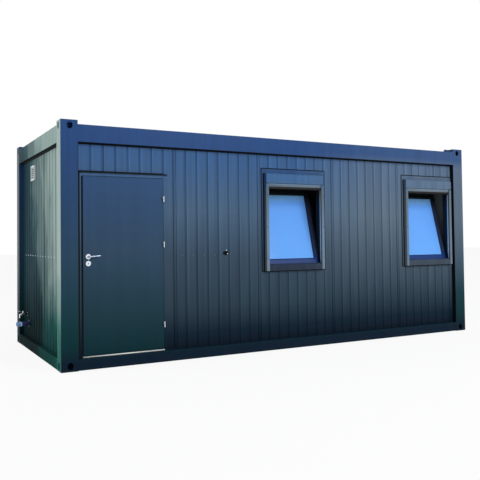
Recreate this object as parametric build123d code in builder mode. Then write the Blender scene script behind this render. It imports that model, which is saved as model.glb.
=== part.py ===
"""A sanitary cabin: an insulated room in a steel container frame, with a door and two shuttered windows."""
from build123d import *
import os

# Steel frame: overall size, with the origin on the ground under the middle
length = 6058.0
width = 2438.0
height = 2700.0

# Corner castings: hollow blocks with a twist-lock slot and two side holes
casting_length = 190.0
casting_width = 160.0
casting_height = 118.0
casting_wall = 14.0
slot_length = 124.0
slot_width = 63.5
slot_inset_long = 102.5
slot_inset_short = 89.5
side_hole_height = 79.5
side_hole_width = 63.5
end_hole_width = 51.0
casting_edge = 4.0

# Folded steel of the posts and beams
steel = 5.0
post_bend = 8.0

# Floor beams, joists and deck
floor_beam_lift = 5.0
floor_beam_top = 128.0
floor_ledge = 130.0
floor_lower_flange = 60.0
joist_count = 11
joist_inset = 429.0
joist_width = 60.0
joist_steel = 3.0
deck_thickness = 22.0

# Roof beams, roof sheet and ceiling
roof_beam_drop = 45.0
roof_beam_height = 190.0
roof_ledge = 140.0
roof_upper_flange = 70.0
sheet_thickness = 2.0
sheet_rib_height = 20.0
sheet_rib_count = 18
sheet_rib_shares = ((0.30, 0.0), (0.38, 1.0), (0.62, 1.0), (0.70, 0.0))
ceiling_thickness = 20.0

# Tie-down loop welded on the front roof beam
loop_inset = 298.0
loop_depth = 35.0
loop_span = 76.0
loop_height = 30.0
loop_radius = 6.0

# Wall panels: sandwich boards whose outer sheet has narrow grooves
recess = 60.0
panel_thickness = 60.0
panel_joint = 2.0
door_bay_width = 1228.0
panel_module = 1150.0
right_bay_width = 1136.0
end_bay_width = 908.0
end_strip_width = 136.0
groove_pitch = 143.75
groove_width = 26.0
groove_floor = 14.0
groove_depth = 6.0
seam_inset = 18.0
seam_width = 12.0

# Door frame and threshold
door_lock_margin = 128.0
door_hinge_margin = 144.0
door_head_gap = 315.0
jamb_width = 44.0
head_height = 45.0
frame_lip = 10.0
stop_width = 15.0
drip_height = 10.0
drip_depth = 20.0
threshold_height = 12.0

# Door leaf
leaf_gap = 5.0
leaf_recess = 44.0
leaf_thickness = 46.0
leaf_edge = 2.0

# Door hinges, at shares of the leaf's height
hinge_shares = (0.144, 0.612, 0.879)
hinge_radius = 8.0
hinge_length = 66.0
hinge_side = 2.5
hinge_reach = 10.0
hinge_split = 0.5
pin_radius = 4.0
pin_clearance = 0.05
pin_short = 4.0

# Lever handle and lock
handle_backset = 56.0
handle_height = 1092.0
lock_drop = 75.0
rose_radius = 29.0
rose_thickness = 8.0
rose_edge = 2.0
neck_radius = 10.0
lever_radius = 8.0
lever_length = 128.0
lever_reach = 44.0
lever_bend = 14.0
lever_rise = 9.0
lever_tip_round = 5.0
spindle_radius = 5.0
running_clearance = 0.1
lever_end_gap = 0.3
key_slot_length = 17.0
key_slot_width = 9.0
key_slot_depth = 4.0

# Rubber buffer on the wall, where the lever of the open door would strike
buffer_strike = 66.5
buffer_rise = 7.0
buffer_base_radius = 23.0
buffer_base_thickness = 5.0
buffer_root_radius = 20.0
buffer_tip_radius = 15.0
buffer_length = 35.0
buffer_round = 6.0

# Windows: a flanged surround, a fixed frame, a bottom-hung sash and its pane
window_head_gap = 190.0
surround_width = 972.0
surround_height = 1285.0
surround_border = 38.0
surround_top_border = 55.0
surround_thickness = 5.0
left_window_offset = 46.0
right_window_gap = 6.0
sill_depth = 45.0
sill_fall = 12.0
fixed_lip_width = 46.0
fixed_lip_depth = 25.0
fixed_rebate_width = 29.0
fixed_depth = 90.0
sash_clearance = 2.0
sash_seat = 0.3
sash_rail = 62.0
sash_thickness = 60.0
sash_tilt = 14.0
bead_width = 8.0
bead_depth = 14.0
bead_slope = 30.0
pane_thickness = 24.0

# Roller shutters, drawn up with the end bar showing under the box
shutter_box_height = 133.0
shutter_proud = 50.0
shutter_box_depth = 140.0
shutter_box_edge = 14.0
guide_width = 40.0
guide_depth = 45.0
guide_groove_depth = 15.0
guide_groove_width = 18.0
guide_groove_inset = 11.0
bar_height = 60.0
bar_thickness = 14.0
bar_end_gap = 3.0

# Water tap on the left end wall, places measured from the back
tap_from_back = 438.0
tap_height = 424.0
tap_flange_radius = 26.0
tap_flange_thickness = 6.0
tap_pipe_radius = 11.0
tap_reach = 105.0
tap_body_radius = 17.0
tap_body_start = 40.0
tap_body_length = 46.0
tap_spout_radius = 9.0
tap_spout_bend = 16.0
tap_spout_drop = 46.0
tap_stem_radius = 6.0
tap_stem_height = 36.0
tap_gland_radius = 11.0
tap_gland_height = 25.0
tap_collar_radius = 12.0
tap_collar_height = 12.0
tap_hub_radius = 10.0
tap_hub_height = 14.0
tap_lever_length = 72.0
tap_lever_width = 14.0
tap_lever_thickness = 5.0

# Louvred vent high on the left end wall, its middle measured from the back and down from the roof beam
vent_from_back = 838.0
vent_drop = 195.0
vent_width = 200.0
vent_height = 190.0
vent_depth = 20.0
vent_border = 16.0
vent_edge = 3.0
vent_blade_count = 6
vent_blade_thickness = 2.5
vent_blade_rise = 14.0
vent_blade_gap = 4.0

# Drain pipe below the tap
drain_from_back = 545.0
drain_height = 308.0
drain_flange_radius = 47.0
drain_flange_thickness = 10.0
drain_radius = 29.0
drain_wall = 3.0
drain_length = 168.0

# One overrun for every cut that passes through a face
overrun = 1.0

# Levels and depths that several pieces share
wall_inner = recess + panel_thickness
room_edge = wall_inner + panel_joint
roof_top = height - roof_beam_drop
roof_bottom = roof_top - roof_beam_height
wall_height = roof_bottom - floor_beam_top

# Plan planes at the outer corner where each wall starts: x along the wall, y into the room
front_plan = Plane((-length / 2, -width / 2, 0))
right_plan = Plane((length / 2, -width / 2, 0), x_dir=(0, 1, 0), z_dir=(0, 0, 1))
back_plan = Plane((length / 2, width / 2, 0), x_dir=(-1, 0, 0), z_dir=(0, 0, 1))
left_plan = Plane((-length / 2, width / 2, 0), x_dir=(0, -1, 0), z_dir=(0, 0, 1))

# Upright plane on the front face of the frame: x along the front, y up, normal outwards
front = Plane((-length / 2, -width / 2, 0), x_dir=(1, 0, 0), z_dir=(0, -1, 0))
left_face = Plane((-length / 2, -width / 2, 0), x_dir=(0, 1, 0), z_dir=(1, 0, 0))


def area(start, end, low, high, mode=Mode.ADD):
    """Add a rectangle to the current sketch by its four edges."""
    with Locations(((start + end) / 2, (low + high) / 2)):
        Rectangle(end - start, high - low, mode=mode)


def groove(places, top_width, floor_width):
    """Cut grooves into the outer face of a panel's plan at the given places along the wall."""
    outline = [
        (-top_width / 2, 0),
        (top_width / 2, 0),
        (floor_width / 2, groove_depth),
        (-floor_width / 2, groove_depth),
    ]
    with Locations(*[(place, recess) for place in places]):
        Polygon(*outline, align=None, mode=Mode.SUBTRACT)


def ribbed_plan(start, end, from_end=False):
    """Add one panel's plan: a flat inner face, grooves counted from one edge and two beside its seams."""
    area(start + panel_joint / 2, end - panel_joint / 2, recess, wall_inner)
    groove_count = int((end - start - groove_pitch / 2) // groove_pitch)
    steps = [groove_pitch * (count + 1) for count in range(groove_count)]
    groove([end - step if from_end else start + step for step in steps], groove_width, groove_floor)
    groove([start + seam_inset, end - seam_inset], seam_width, seam_width / 2)


def wall_panels(plan, edges):
    """Stand panels between the edges given along one wall, from the floor beam to the roof beam."""
    with BuildPart() as panels:
        with BuildSketch(plan.offset(floor_beam_top)):
            for start, end in zip(edges, edges[1:]):
                ribbed_plan(start, end)
        extrude(amount=wall_height)
    return panels


def channel_beam(plan, inset, run, bottom, top, low_flange, high_flange):
    """Draw a C-section with its web on the outer face and run it along one wall."""
    section_plane = Plane(plan.from_local_coords((inset, 0, 0)), x_dir=plan.y_dir, z_dir=plan.x_dir)
    outline = [
        (0, bottom),
        (low_flange, bottom),
        (low_flange, bottom + steel),
        (steel, bottom + steel),
        (steel, top - steel),
        (high_flange, top - steel),
        (high_flange, top),
        (0, top),
    ]
    with BuildPart() as beam:
        with BuildSketch(section_plane):
            Polygon(*outline, align=None)
        extrude(amount=run)
    return beam


# Corner castings
with BuildPart() as bottom_castings:
    with BuildSketch(front_plan):
        area(0, casting_length, 0, casting_width)
    extrude(amount=casting_height)
    corner_edge = bottom_castings.edges().filter_by(Axis.Z).sort_by_distance(front_plan.origin)[0]
    fillet(corner_edge, radius=post_bend)
    fillet(bottom_castings.faces().sort_by(Axis.Z)[0].edges(), radius=casting_edge)
    with BuildSketch(front_plan.offset(casting_wall)):
        area(casting_wall, casting_length - casting_wall, casting_wall, casting_width - casting_wall)
    extrude(amount=casting_height - 2 * casting_wall, mode=Mode.SUBTRACT)
    with BuildSketch(front_plan.offset(-overrun)):
        with Locations((slot_inset_long, slot_inset_short)):
            SlotOverall(slot_length, slot_width)
    extrude(amount=casting_wall + 2 * overrun, mode=Mode.SUBTRACT)
    with BuildSketch(front.offset(overrun)):
        with Locations((slot_inset_long, casting_height / 2)):
            SlotOverall(side_hole_height, side_hole_width, rotation=90)
    extrude(amount=-(casting_wall + 2 * overrun), mode=Mode.SUBTRACT)
    with BuildSketch(left_face.offset(-overrun)):
        with Locations((slot_inset_short, casting_height / 2)):
            SlotOverall(side_hole_height, end_hole_width, rotation=90)
    extrude(amount=casting_wall + 2 * overrun, mode=Mode.SUBTRACT)
    mirror(about=Plane.YZ)
    mirror(about=Plane.XZ)

with BuildPart() as top_castings:
    mirror(bottom_castings.part, about=Plane.XY.offset(height / 2))

# Corner posts: closed folded sections that step back to the panels on both sides
post_outline = [
    (0, 0),
    (casting_length, 0),
    (casting_length, recess),
    (wall_inner, recess),
    (wall_inner, wall_inner),
    (recess, wall_inner),
    (recess, casting_width),
    (0, casting_width),
]
with BuildPart() as front_left_post:
    with BuildSketch(front_plan.offset(casting_height)) as post_section:
        Polygon(*post_outline, align=None)
        fillet(post_section.vertices().sort_by_distance(front_plan.origin)[0], radius=post_bend)
        offset(amount=-steel, kind=Kind.INTERSECTION, mode=Mode.SUBTRACT)
    extrude(amount=height - 2 * casting_height)

with BuildPart() as front_right_post:
    mirror(front_left_post.part, about=Plane.YZ)

with BuildPart() as back_left_post:
    mirror(front_left_post.part, about=Plane.XZ)

with BuildPart() as back_right_post:
    mirror(front_right_post.part, about=Plane.XZ)

# Floor and roof beams between the corner posts
long_run = length - 2 * casting_length
short_run = width - 2 * casting_width
floor_section = (floor_beam_lift, floor_beam_top, floor_lower_flange, floor_ledge)
roof_section = (roof_bottom, roof_top, roof_ledge, roof_upper_flange)

floor_beam_front = channel_beam(front_plan, casting_length, long_run, *floor_section)
floor_beam_back = channel_beam(back_plan, casting_length, long_run, *floor_section)
floor_beam_left = channel_beam(left_plan, casting_width, short_run, *floor_section)
floor_beam_right = channel_beam(right_plan, casting_width, short_run, *floor_section)
roof_beam_back = channel_beam(back_plan, casting_length, long_run, *roof_section)
roof_beam_left = channel_beam(left_plan, casting_width, short_run, *roof_section)
roof_beam_right = channel_beam(right_plan, casting_width, short_run, *roof_section)
plain_front_beam = channel_beam(front_plan, casting_length, long_run, *roof_section)

# The front roof beam carries a tie-down loop near its right end
loop_middle = length - loop_inset
with BuildPart() as roof_beam_front:
    add(plain_front_beam.part)
    with BuildLine(front.offset(-loop_depth)) as loop_path:
        FilletPolyline(
            (loop_middle - loop_span / 2, roof_top),
            (loop_middle - loop_span / 2, roof_top + loop_height),
            (loop_middle + loop_span / 2, roof_top + loop_height),
            (loop_middle + loop_span / 2, roof_top),
            radius=loop_height / 2,
        )
    with BuildSketch(Plane(loop_path.line @ 0, z_dir=loop_path.line % 0)):
        Circle(loop_radius)
    sweep(path=loop_path.line)

# Floor joists, open channels between the ledges of the long beams
joist_bottom = floor_beam_lift + steel
joist_pitch = (length - 2 * joist_inset) / (joist_count - 1)
with BuildPart() as floor_joists:
    with BuildSketch(front.offset(-floor_ledge)):
        with Locations((length / 2, (joist_bottom + floor_beam_top) / 2)):
            with GridLocations(joist_pitch, 0, joist_count, 1):
                Rectangle(joist_width, floor_beam_top - joist_bottom)
        with Locations((length / 2 + joist_steel, (joist_bottom + floor_beam_top) / 2)):
            with GridLocations(joist_pitch, 0, joist_count, 1):
                Rectangle(joist_width, floor_beam_top - joist_bottom - 2 * joist_steel, mode=Mode.SUBTRACT)
    extrude(amount=-(width - 2 * floor_ledge))

with BuildPart() as floor_deck:
    with BuildSketch(front_plan.offset(floor_beam_top)):
        area(room_edge, length - room_edge, room_edge, width - room_edge)
    extrude(amount=deck_thickness)

# Ceiling board on the lower flanges of the roof beams
ceiling_edge = room_edge + panel_joint
with BuildPart() as ceiling_panel:
    with BuildSketch(front_plan.offset(roof_bottom + steel)):
        area(ceiling_edge, length - ceiling_edge, ceiling_edge, width - ceiling_edge)
    extrude(amount=ceiling_thickness)

# Roof sheet: ribs run across the cabin and meet the upper flanges from below
sheet_run = length - 2 * steel
rib_pitch = sheet_run / sheet_rib_count
sheet_level = roof_top - steel - sheet_rib_height
sheet_places = [(0, 0)]
for rib in range(sheet_rib_count):
    for along_share, up_share in sheet_rib_shares:
        sheet_places.append(((rib + along_share) * rib_pitch, up_share))
sheet_places.append((sheet_run, 0))
sheet_upper = [(steel + along, sheet_level + up * sheet_rib_height) for along, up in sheet_places]
sheet_lower = [(along, level - sheet_thickness) for along, level in reversed(sheet_upper)]
with BuildPart() as roof_sheet:
    with BuildSketch(front.offset(-steel)):
        Polygon(*sheet_upper, *sheet_lower, align=None)
    extrude(amount=-(width - 2 * steel))
    with BuildSketch(Plane.XY.offset(sheet_level - sheet_rib_height)):
        with GridLocations(length - casting_length, width - casting_width, 2, 2):
            Rectangle(casting_length + 2 * panel_joint, casting_width + 2 * panel_joint)
    extrude(amount=3 * sheet_rib_height, mode=Mode.SUBTRACT)

# Wall panels of the three plain walls
first_seam = room_edge + door_bay_width
second_seam = first_seam + panel_module
third_seam = second_seam + panel_module
last_seam = length - room_edge - right_bay_width
long_edges = [room_edge, first_seam, second_seam, third_seam, last_seam, length - room_edge]
end_edges = [room_edge, room_edge + end_bay_width, width - room_edge - end_strip_width, width - room_edge]

back_panels = wall_panels(back_plan, [length - edge for edge in reversed(long_edges)])
left_end_panels = wall_panels(left_plan, [width - edge for edge in reversed(end_edges)])
right_end_panels = wall_panels(right_plan, end_edges)

# Front wall: plain panels, and the bay over and beside the doorway
front_panel_left = wall_panels(front_plan, [first_seam, second_seam])
front_panel_middle = wall_panels(front_plan, [third_seam, last_seam])

door_start = room_edge + door_lock_margin
door_end = first_seam - door_hinge_margin
frame_end = door_end + jamb_width
frame_top = roof_bottom - door_head_gap
door_top = frame_top - head_height
with BuildPart() as door_header_panel:
    with BuildSketch(front_plan.offset(frame_top)):
        ribbed_plan(room_edge, first_seam, from_end=True)
    extrude(amount=door_head_gap)

with BuildPart() as door_side_panel:
    with BuildSketch(front_plan.offset(floor_beam_top)):
        area(frame_end, first_seam - panel_joint / 2, recess, wall_inner)
        groove([first_seam - seam_inset], seam_width, seam_width / 2)
    extrude(amount=frame_top - floor_beam_top)

# Front panels cut out for the windows
surround_top = roof_bottom - window_head_gap
surround_bottom = surround_top - surround_height
hole_bottom = surround_bottom + surround_border
hole_top = surround_top - surround_top_border
hole_width = surround_width - 2 * surround_border
left_window_start = second_seam + left_window_offset
right_window_start = length - casting_length - right_window_gap - surround_width
window_starts = (left_window_start, right_window_start)


def window_panel(start, end, window_start):
    """Stand one front panel and cut the window's opening through it."""
    hole_start = window_start + surround_border
    with BuildPart() as panel:
        with BuildSketch(front_plan.offset(floor_beam_top)):
            ribbed_plan(start, end)
        extrude(amount=wall_height)
        with BuildSketch(front.offset(-(recess - overrun))):
            area(hole_start, hole_start + hole_width, hole_bottom, hole_top)
        extrude(amount=-(panel_thickness + 2 * overrun), mode=Mode.SUBTRACT)
    return panel


left_window_panel = window_panel(second_seam, third_seam, left_window_start)
right_window_panel = window_panel(last_seam, length - room_edge, right_window_start)

# Door frame: two jambs and a head, with a proud lip, a drip edge and a stop behind the leaf
stop_face = leaf_recess + leaf_thickness + leaf_gap
threshold_top = floor_beam_top + threshold_height
lip_start = casting_length + panel_joint
with BuildPart() as door_frame:
    with BuildSketch(front.offset(-wall_inner)):
        area(room_edge, frame_end, floor_beam_top, frame_top)
        area(door_start, door_end, floor_beam_top, door_top, mode=Mode.SUBTRACT)
    extrude(amount=panel_thickness)
    with BuildSketch(front.offset(-recess)):
        area(lip_start, frame_end, floor_beam_top, frame_top)
        area(door_start, door_end, floor_beam_top, door_top, mode=Mode.SUBTRACT)
    extrude(amount=frame_lip)
    with BuildSketch(front.offset(-(recess - frame_lip))):
        area(lip_start, frame_end, frame_top - drip_height, frame_top)
    extrude(amount=drip_depth)
    with BuildSketch(front.offset(-wall_inner)):
        area(door_start, door_end, threshold_top, door_top)
        area(
            door_start + stop_width,
            door_end - stop_width,
            threshold_top,
            door_top - stop_width,
            Mode.SUBTRACT,
        )
    extrude(amount=wall_inner - stop_face)

with BuildPart() as door_threshold:
    with BuildSketch(front.offset(-room_edge)):
        area(door_start, door_end, floor_beam_top, threshold_top)
    extrude(amount=room_edge - leaf_recess)

# Door leaf, with the bores for the spindle and the lock
leaf_start = door_start + leaf_gap
leaf_end = door_end - leaf_gap
leaf_bottom = threshold_top + leaf_gap
leaf_top = door_top - leaf_gap
leaf_height = leaf_top - leaf_bottom
handle_along = leaf_start + handle_backset
handle_level = floor_beam_top + handle_height
lock_level = handle_level - lock_drop
leaf_middle = front.offset(-(leaf_recess + leaf_thickness / 2))
with BuildPart() as door_leaf:
    with BuildSketch(front.offset(-(leaf_recess + leaf_thickness))):
        area(leaf_start, leaf_end, leaf_bottom, leaf_top)
    extrude(amount=leaf_thickness)
    fillet(door_leaf.faces().sort_by(Axis.Y)[0].edges(), radius=leaf_edge)
    with BuildSketch(front.offset(-(leaf_recess - overrun))):
        with Locations((handle_along, handle_level)):
            Circle(spindle_radius + running_clearance)
    extrude(amount=-(leaf_thickness + 2 * overrun), mode=Mode.SUBTRACT)

# Round roses on both faces of the leaf: one round the lever, one round the key cylinder
with BuildPart() as door_roses:
    with BuildSketch(front.offset(-leaf_recess)):
        with Locations((handle_along, handle_level), (handle_along, lock_level)):
            Circle(rose_radius)
    extrude(amount=rose_thickness)
    fillet(door_roses.faces().sort_by(Axis.Y)[0:2].edges(), radius=rose_edge)
    with BuildSketch(front.offset(-leaf_recess)):
        with Locations((handle_along, handle_level)):
            Circle(neck_radius + running_clearance)
    extrude(amount=rose_thickness + overrun, mode=Mode.SUBTRACT)
    with BuildSketch(front.offset(-(leaf_recess - rose_thickness + key_slot_depth))):
        with Locations((handle_along, lock_level)):
            SlotOverall(key_slot_length, key_slot_width, rotation=90)
    extrude(amount=key_slot_depth + overrun, mode=Mode.SUBTRACT)
    mirror(about=leaf_middle)

# Lever handle: a bent lever on each face, joined by the spindle through the leaf
lever_depth = leaf_recess - lever_reach
neck_depth = leaf_recess - lever_end_gap
with BuildPart() as door_lever:
    with BuildLine(front_plan.offset(handle_level)) as lever_path:
        FilletPolyline(
            (handle_along, leaf_recess - rose_thickness),
            (handle_along, lever_depth),
            (handle_along + lever_length, lever_depth, lever_rise),
            radius=lever_bend,
        )
    with BuildSketch(Plane(lever_path.line @ 0, z_dir=lever_path.line % 0)):
        Circle(lever_radius)
    sweep(path=lever_path.line)
    fillet(door_lever.faces().sort_by(Axis.X)[-1].edges(), radius=lever_tip_round)
    with BuildSketch(front.offset(-neck_depth)):
        with Locations((handle_along, handle_level)):
            Circle(neck_radius)
    extrude(amount=rose_thickness + lever_end_gap)
    mirror(about=leaf_middle)
    with BuildSketch(front.offset(-neck_depth)):
        with Locations((handle_along, handle_level)):
            Circle(spindle_radius)
    extrude(amount=-(leaf_thickness + 2 * lever_end_gap))

# Barrel hinges: the lower half and its pin on the frame, the upper half on the leaf
hinge_along = door_end - hinge_side
hinge_depth = leaf_recess - hinge_reach
hinge_levels = [leaf_bottom + share * leaf_height for share in hinge_shares]
with BuildPart() as hinge_frame_halves:
    for level in hinge_levels:
        with BuildSketch(front_plan.offset(level - hinge_length / 2)):
            with Locations((hinge_along, hinge_depth)):
                Circle(hinge_radius)
            area(hinge_along, hinge_along + hinge_reach, hinge_depth, recess - frame_lip)
        extrude(amount=hinge_length / 2)
        with BuildSketch(front_plan.offset(level)):
            with Locations((hinge_along, hinge_depth)):
                Circle(pin_radius)
        extrude(amount=hinge_length / 2 - pin_short)

with BuildPart() as hinge_leaf_halves:
    for level in hinge_levels:
        with BuildSketch(front_plan.offset(level + hinge_split)):
            with Locations((hinge_along, hinge_depth)):
                Circle(hinge_radius)
            area(hinge_along - 2 * hinge_reach, hinge_along, hinge_depth, leaf_recess)
            with Locations((hinge_along, hinge_depth)):
                Circle(pin_radius + pin_clearance, mode=Mode.SUBTRACT)
        extrude(amount=hinge_length / 2 - pin_short)
        with BuildSketch(front_plan.offset(level + hinge_split + hinge_length / 2 - pin_short)):
            with Locations((hinge_along, hinge_depth)):
                Circle(hinge_radius)
        extrude(amount=pin_short - hinge_split)

# Rubber buffer that stops the open door's lever
buffer_along = 2 * hinge_along - handle_along - buffer_strike
buffer_level = handle_level + buffer_rise
with BuildPart() as door_buffer:
    with BuildSketch(front.offset(-recess)):
        with Locations((buffer_along, buffer_level)):
            Circle(buffer_base_radius)
    extrude(amount=buffer_base_thickness)
    with BuildSketch(front.offset(-recess)):
        with Locations((buffer_along, buffer_level)):
            Circle(buffer_root_radius)
    with BuildSketch(front.offset(-(recess - buffer_length))):
        with Locations((buffer_along, buffer_level)):
            Circle(buffer_tip_radius)
    loft()
    fillet(door_buffer.faces().sort_by(Axis.Y)[0].edges(), radius=buffer_round)

# Window surrounds: a flange on the wall and a sloping sill between the shutter guides
fixed_top = hole_top - shutter_box_height
sill_front = recess - sill_depth
sill_top = hole_bottom + fixed_lip_width
with BuildPart() as window_surrounds:
    for start in window_starts:
        hole_start = start + surround_border
        hole_end = hole_start + hole_width
        with BuildSketch(front.offset(-recess)):
            area(start, start + surround_width, surround_bottom, surround_top)
            area(hole_start, hole_end, hole_bottom, hole_top, mode=Mode.SUBTRACT)
        extrude(amount=surround_thickness)
        sill_plane = Plane(
            front_plan.from_local_coords((hole_start + guide_width, 0, 0)), x_dir=(0, 1, 0), z_dir=(1, 0, 0)
        )
        with BuildSketch(sill_plane):
            Polygon(
                (sill_front, surround_bottom),
                (recess - surround_thickness, surround_bottom),
                (recess - surround_thickness, hole_bottom),
                (recess, hole_bottom),
                (recess, sill_top),
                (sill_front, sill_top - sill_fall),
                align=None,
            )
        extrude(amount=hole_width - 2 * guide_width)

# Fixed window frames, with an outer lip and a rebate for the sash
with BuildPart() as window_frames:
    for start in window_starts:
        hole_start = start + surround_border
        hole_end = hole_start + hole_width
        with BuildSketch(front.offset(-(recess + fixed_lip_depth))):
            area(hole_start, hole_end, hole_bottom, fixed_top)
            area(
                hole_start + fixed_lip_width,
                hole_end - fixed_lip_width,
                sill_top,
                fixed_top - fixed_lip_width,
                Mode.SUBTRACT,
            )
        extrude(amount=fixed_lip_depth)
        with BuildSketch(front.offset(-(recess + fixed_depth))):
            area(hole_start, hole_end, hole_bottom, fixed_top)
            area(
                hole_start + fixed_rebate_width,
                hole_end - fixed_rebate_width,
                hole_bottom + fixed_rebate_width,
                fixed_top - fixed_rebate_width,
                Mode.SUBTRACT,
            )
        extrude(amount=fixed_depth - fixed_lip_depth)

# Sashes with a sloping glazing bead, and panes, tilted into the room about their lower inner edge
sash_width = hole_width - 2 * (fixed_rebate_width + sash_clearance)
sash_height = fixed_top - hole_bottom - 2 * (fixed_rebate_width + sash_clearance)
sash_pivot_depth = recess + fixed_lip_depth + sash_clearance + sash_thickness
sash_pivot_level = hole_bottom + fixed_rebate_width + sash_seat


def sash_plane(window_start):
    """Give the tilted inner face of a sash: x along its lower edge, y up it, normal outwards."""
    sash_start = window_start + surround_border + fixed_rebate_width + sash_clearance
    pivot = front_plan.from_local_coords((sash_start, sash_pivot_depth, sash_pivot_level))
    return Plane(pivot, x_dir=(1, 0, 0), z_dir=(0, -1, 0)).rotated((-sash_tilt, 0, 0))


with BuildPart() as window_sashes:
    for start in window_starts:
        with BuildSketch(sash_plane(start)):
            area(0, sash_width, 0, sash_height)
            area(sash_rail, sash_width - sash_rail, sash_rail, sash_height - sash_rail, Mode.SUBTRACT)
        extrude(amount=sash_thickness)
        with BuildSketch(sash_plane(start).offset(sash_thickness)):
            area(
                sash_rail - bead_width,
                sash_width - sash_rail + bead_width,
                sash_rail - bead_width,
                sash_height - sash_rail + bead_width,
            )
        extrude(amount=-bead_depth, taper=bead_slope, mode=Mode.SUBTRACT)

with BuildPart() as window_panes:
    for start in window_starts:
        with BuildSketch(sash_plane(start).offset((sash_thickness - pane_thickness) / 2)):
            area(sash_rail, sash_width - sash_rail, sash_rail, sash_height - sash_rail)
        extrude(amount=pane_thickness)

# Shutter boxes over the windows, with a sloping lower front edge
box_front = recess - shutter_proud
with BuildPart() as shutter_boxes:
    for start in window_starts:
        hole_start = start + surround_border
        box_plane = Plane(front_plan.from_local_coords((hole_start, 0, 0)), x_dir=(0, 1, 0), z_dir=(1, 0, 0))
        with BuildSketch(box_plane):
            Polygon(
                (box_front, fixed_top + shutter_box_edge),
                (box_front + shutter_box_edge, fixed_top),
                (box_front + shutter_box_depth, fixed_top),
                (box_front + shutter_box_depth, hole_top),
                (box_front + shutter_box_edge, hole_top),
                (box_front, hole_top - shutter_box_edge),
                align=None,
            )
        extrude(amount=hole_width)

# Shutter guides: grooved rails down both sides of each window
groove_near = box_front + guide_groove_inset
with BuildPart() as shutter_guides:
    for start in window_starts:
        hole_start = start + surround_border
        hole_end = hole_start + hole_width
        groove_far = groove_near + guide_groove_width
        with BuildSketch(front_plan.offset(surround_bottom)):
            area(hole_start, hole_start + guide_width, box_front, box_front + guide_depth)
            area(hole_end - guide_width, hole_end, box_front, box_front + guide_depth)
            area(
                hole_start + guide_width - guide_groove_depth,
                hole_end - guide_width + guide_groove_depth,
                groove_near,
                groove_far,
                Mode.SUBTRACT,
            )
        extrude(amount=fixed_top - surround_bottom)

# End bars of the drawn-up shutters, running in the guides' grooves
bar_inset = guide_width - guide_groove_depth + bar_end_gap
bar_depth = groove_near + guide_groove_width / 2
with BuildPart() as shutter_bars:
    for start in window_starts:
        hole_start = start + surround_border
        with BuildSketch(front_plan.offset(fixed_top - bar_height)):
            area(
                hole_start + bar_inset,
                hole_start + hole_width - bar_inset,
                bar_depth - bar_thickness / 2,
                bar_depth + bar_thickness / 2,
            )
        extrude(amount=bar_height)



def end_wall_axis(from_back, level):
    """Give a plane on the face of the left end wall, with its normal outwards."""
    place = left_plan.from_local_coords((from_back, recess, level))
    return Plane(place, x_dir=(0, 1, 0), z_dir=(-1, 0, 0))


# Water tap: a pipe from the wall, a valve body, a spout that turns down and a stem for the handle
tap_axis = end_wall_axis(tap_from_back, tap_height)
tap_middle = tap_body_start + tap_body_length / 2
with BuildPart() as water_tap:
    with BuildSketch(tap_axis):
        Circle(tap_flange_radius)
    extrude(amount=tap_flange_thickness)
    with BuildSketch(tap_axis):
        Circle(tap_pipe_radius)
    extrude(amount=tap_body_start)
    with BuildSketch(tap_axis.offset(tap_body_start)):
        Circle(tap_body_radius)
    extrude(amount=tap_body_length)
    spout_plane = Plane(tap_axis.origin, x_dir=(-1, 0, 0), z_dir=(0, 1, 0))
    with BuildLine(spout_plane) as spout_path:
        FilletPolyline(
            (tap_body_start + tap_body_length, 0),
            (tap_reach, 0),
            (tap_reach, -tap_spout_drop),
            radius=tap_spout_bend,
        )
    with BuildSketch(Plane(spout_path.line @ 0, z_dir=spout_path.line % 0)):
        Circle(tap_spout_radius)
    sweep(path=spout_path.line)
    with BuildSketch(Plane(spout_path.line @ 1)):
        Circle(tap_collar_radius)
    extrude(amount=tap_collar_height)
    with BuildSketch(Plane(tap_axis.from_local_coords((0, 0, tap_middle)))):
        RegularPolygon(tap_gland_radius, 6)
    extrude(amount=tap_gland_height)
    with BuildSketch(Plane(tap_axis.from_local_coords((0, 0, tap_middle)))):
        Circle(tap_stem_radius)
    extrude(amount=tap_stem_height)

# Tap handle: a hub on the stem and a flat lever
hub_level = tap_stem_height - tap_hub_height / 2
tap_head = tap_axis.from_local_coords((0, 0, tap_middle))
with BuildPart() as tap_handle:
    with BuildSketch(Plane(tap_head).offset(hub_level)):
        Circle(tap_hub_radius)
    extrude(amount=tap_hub_height)
    with BuildSketch(Plane(tap_head).offset(hub_level + tap_hub_height - tap_lever_thickness)):
        area(-tap_lever_length, 0, -tap_lever_width / 2, tap_lever_width / 2)
    extrude(amount=tap_lever_thickness)
    with BuildSketch(Plane(tap_head).offset(hub_level)):
        Circle(tap_stem_radius + running_clearance)
    extrude(amount=tap_hub_height / 2 + running_clearance, mode=Mode.SUBTRACT)

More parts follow.
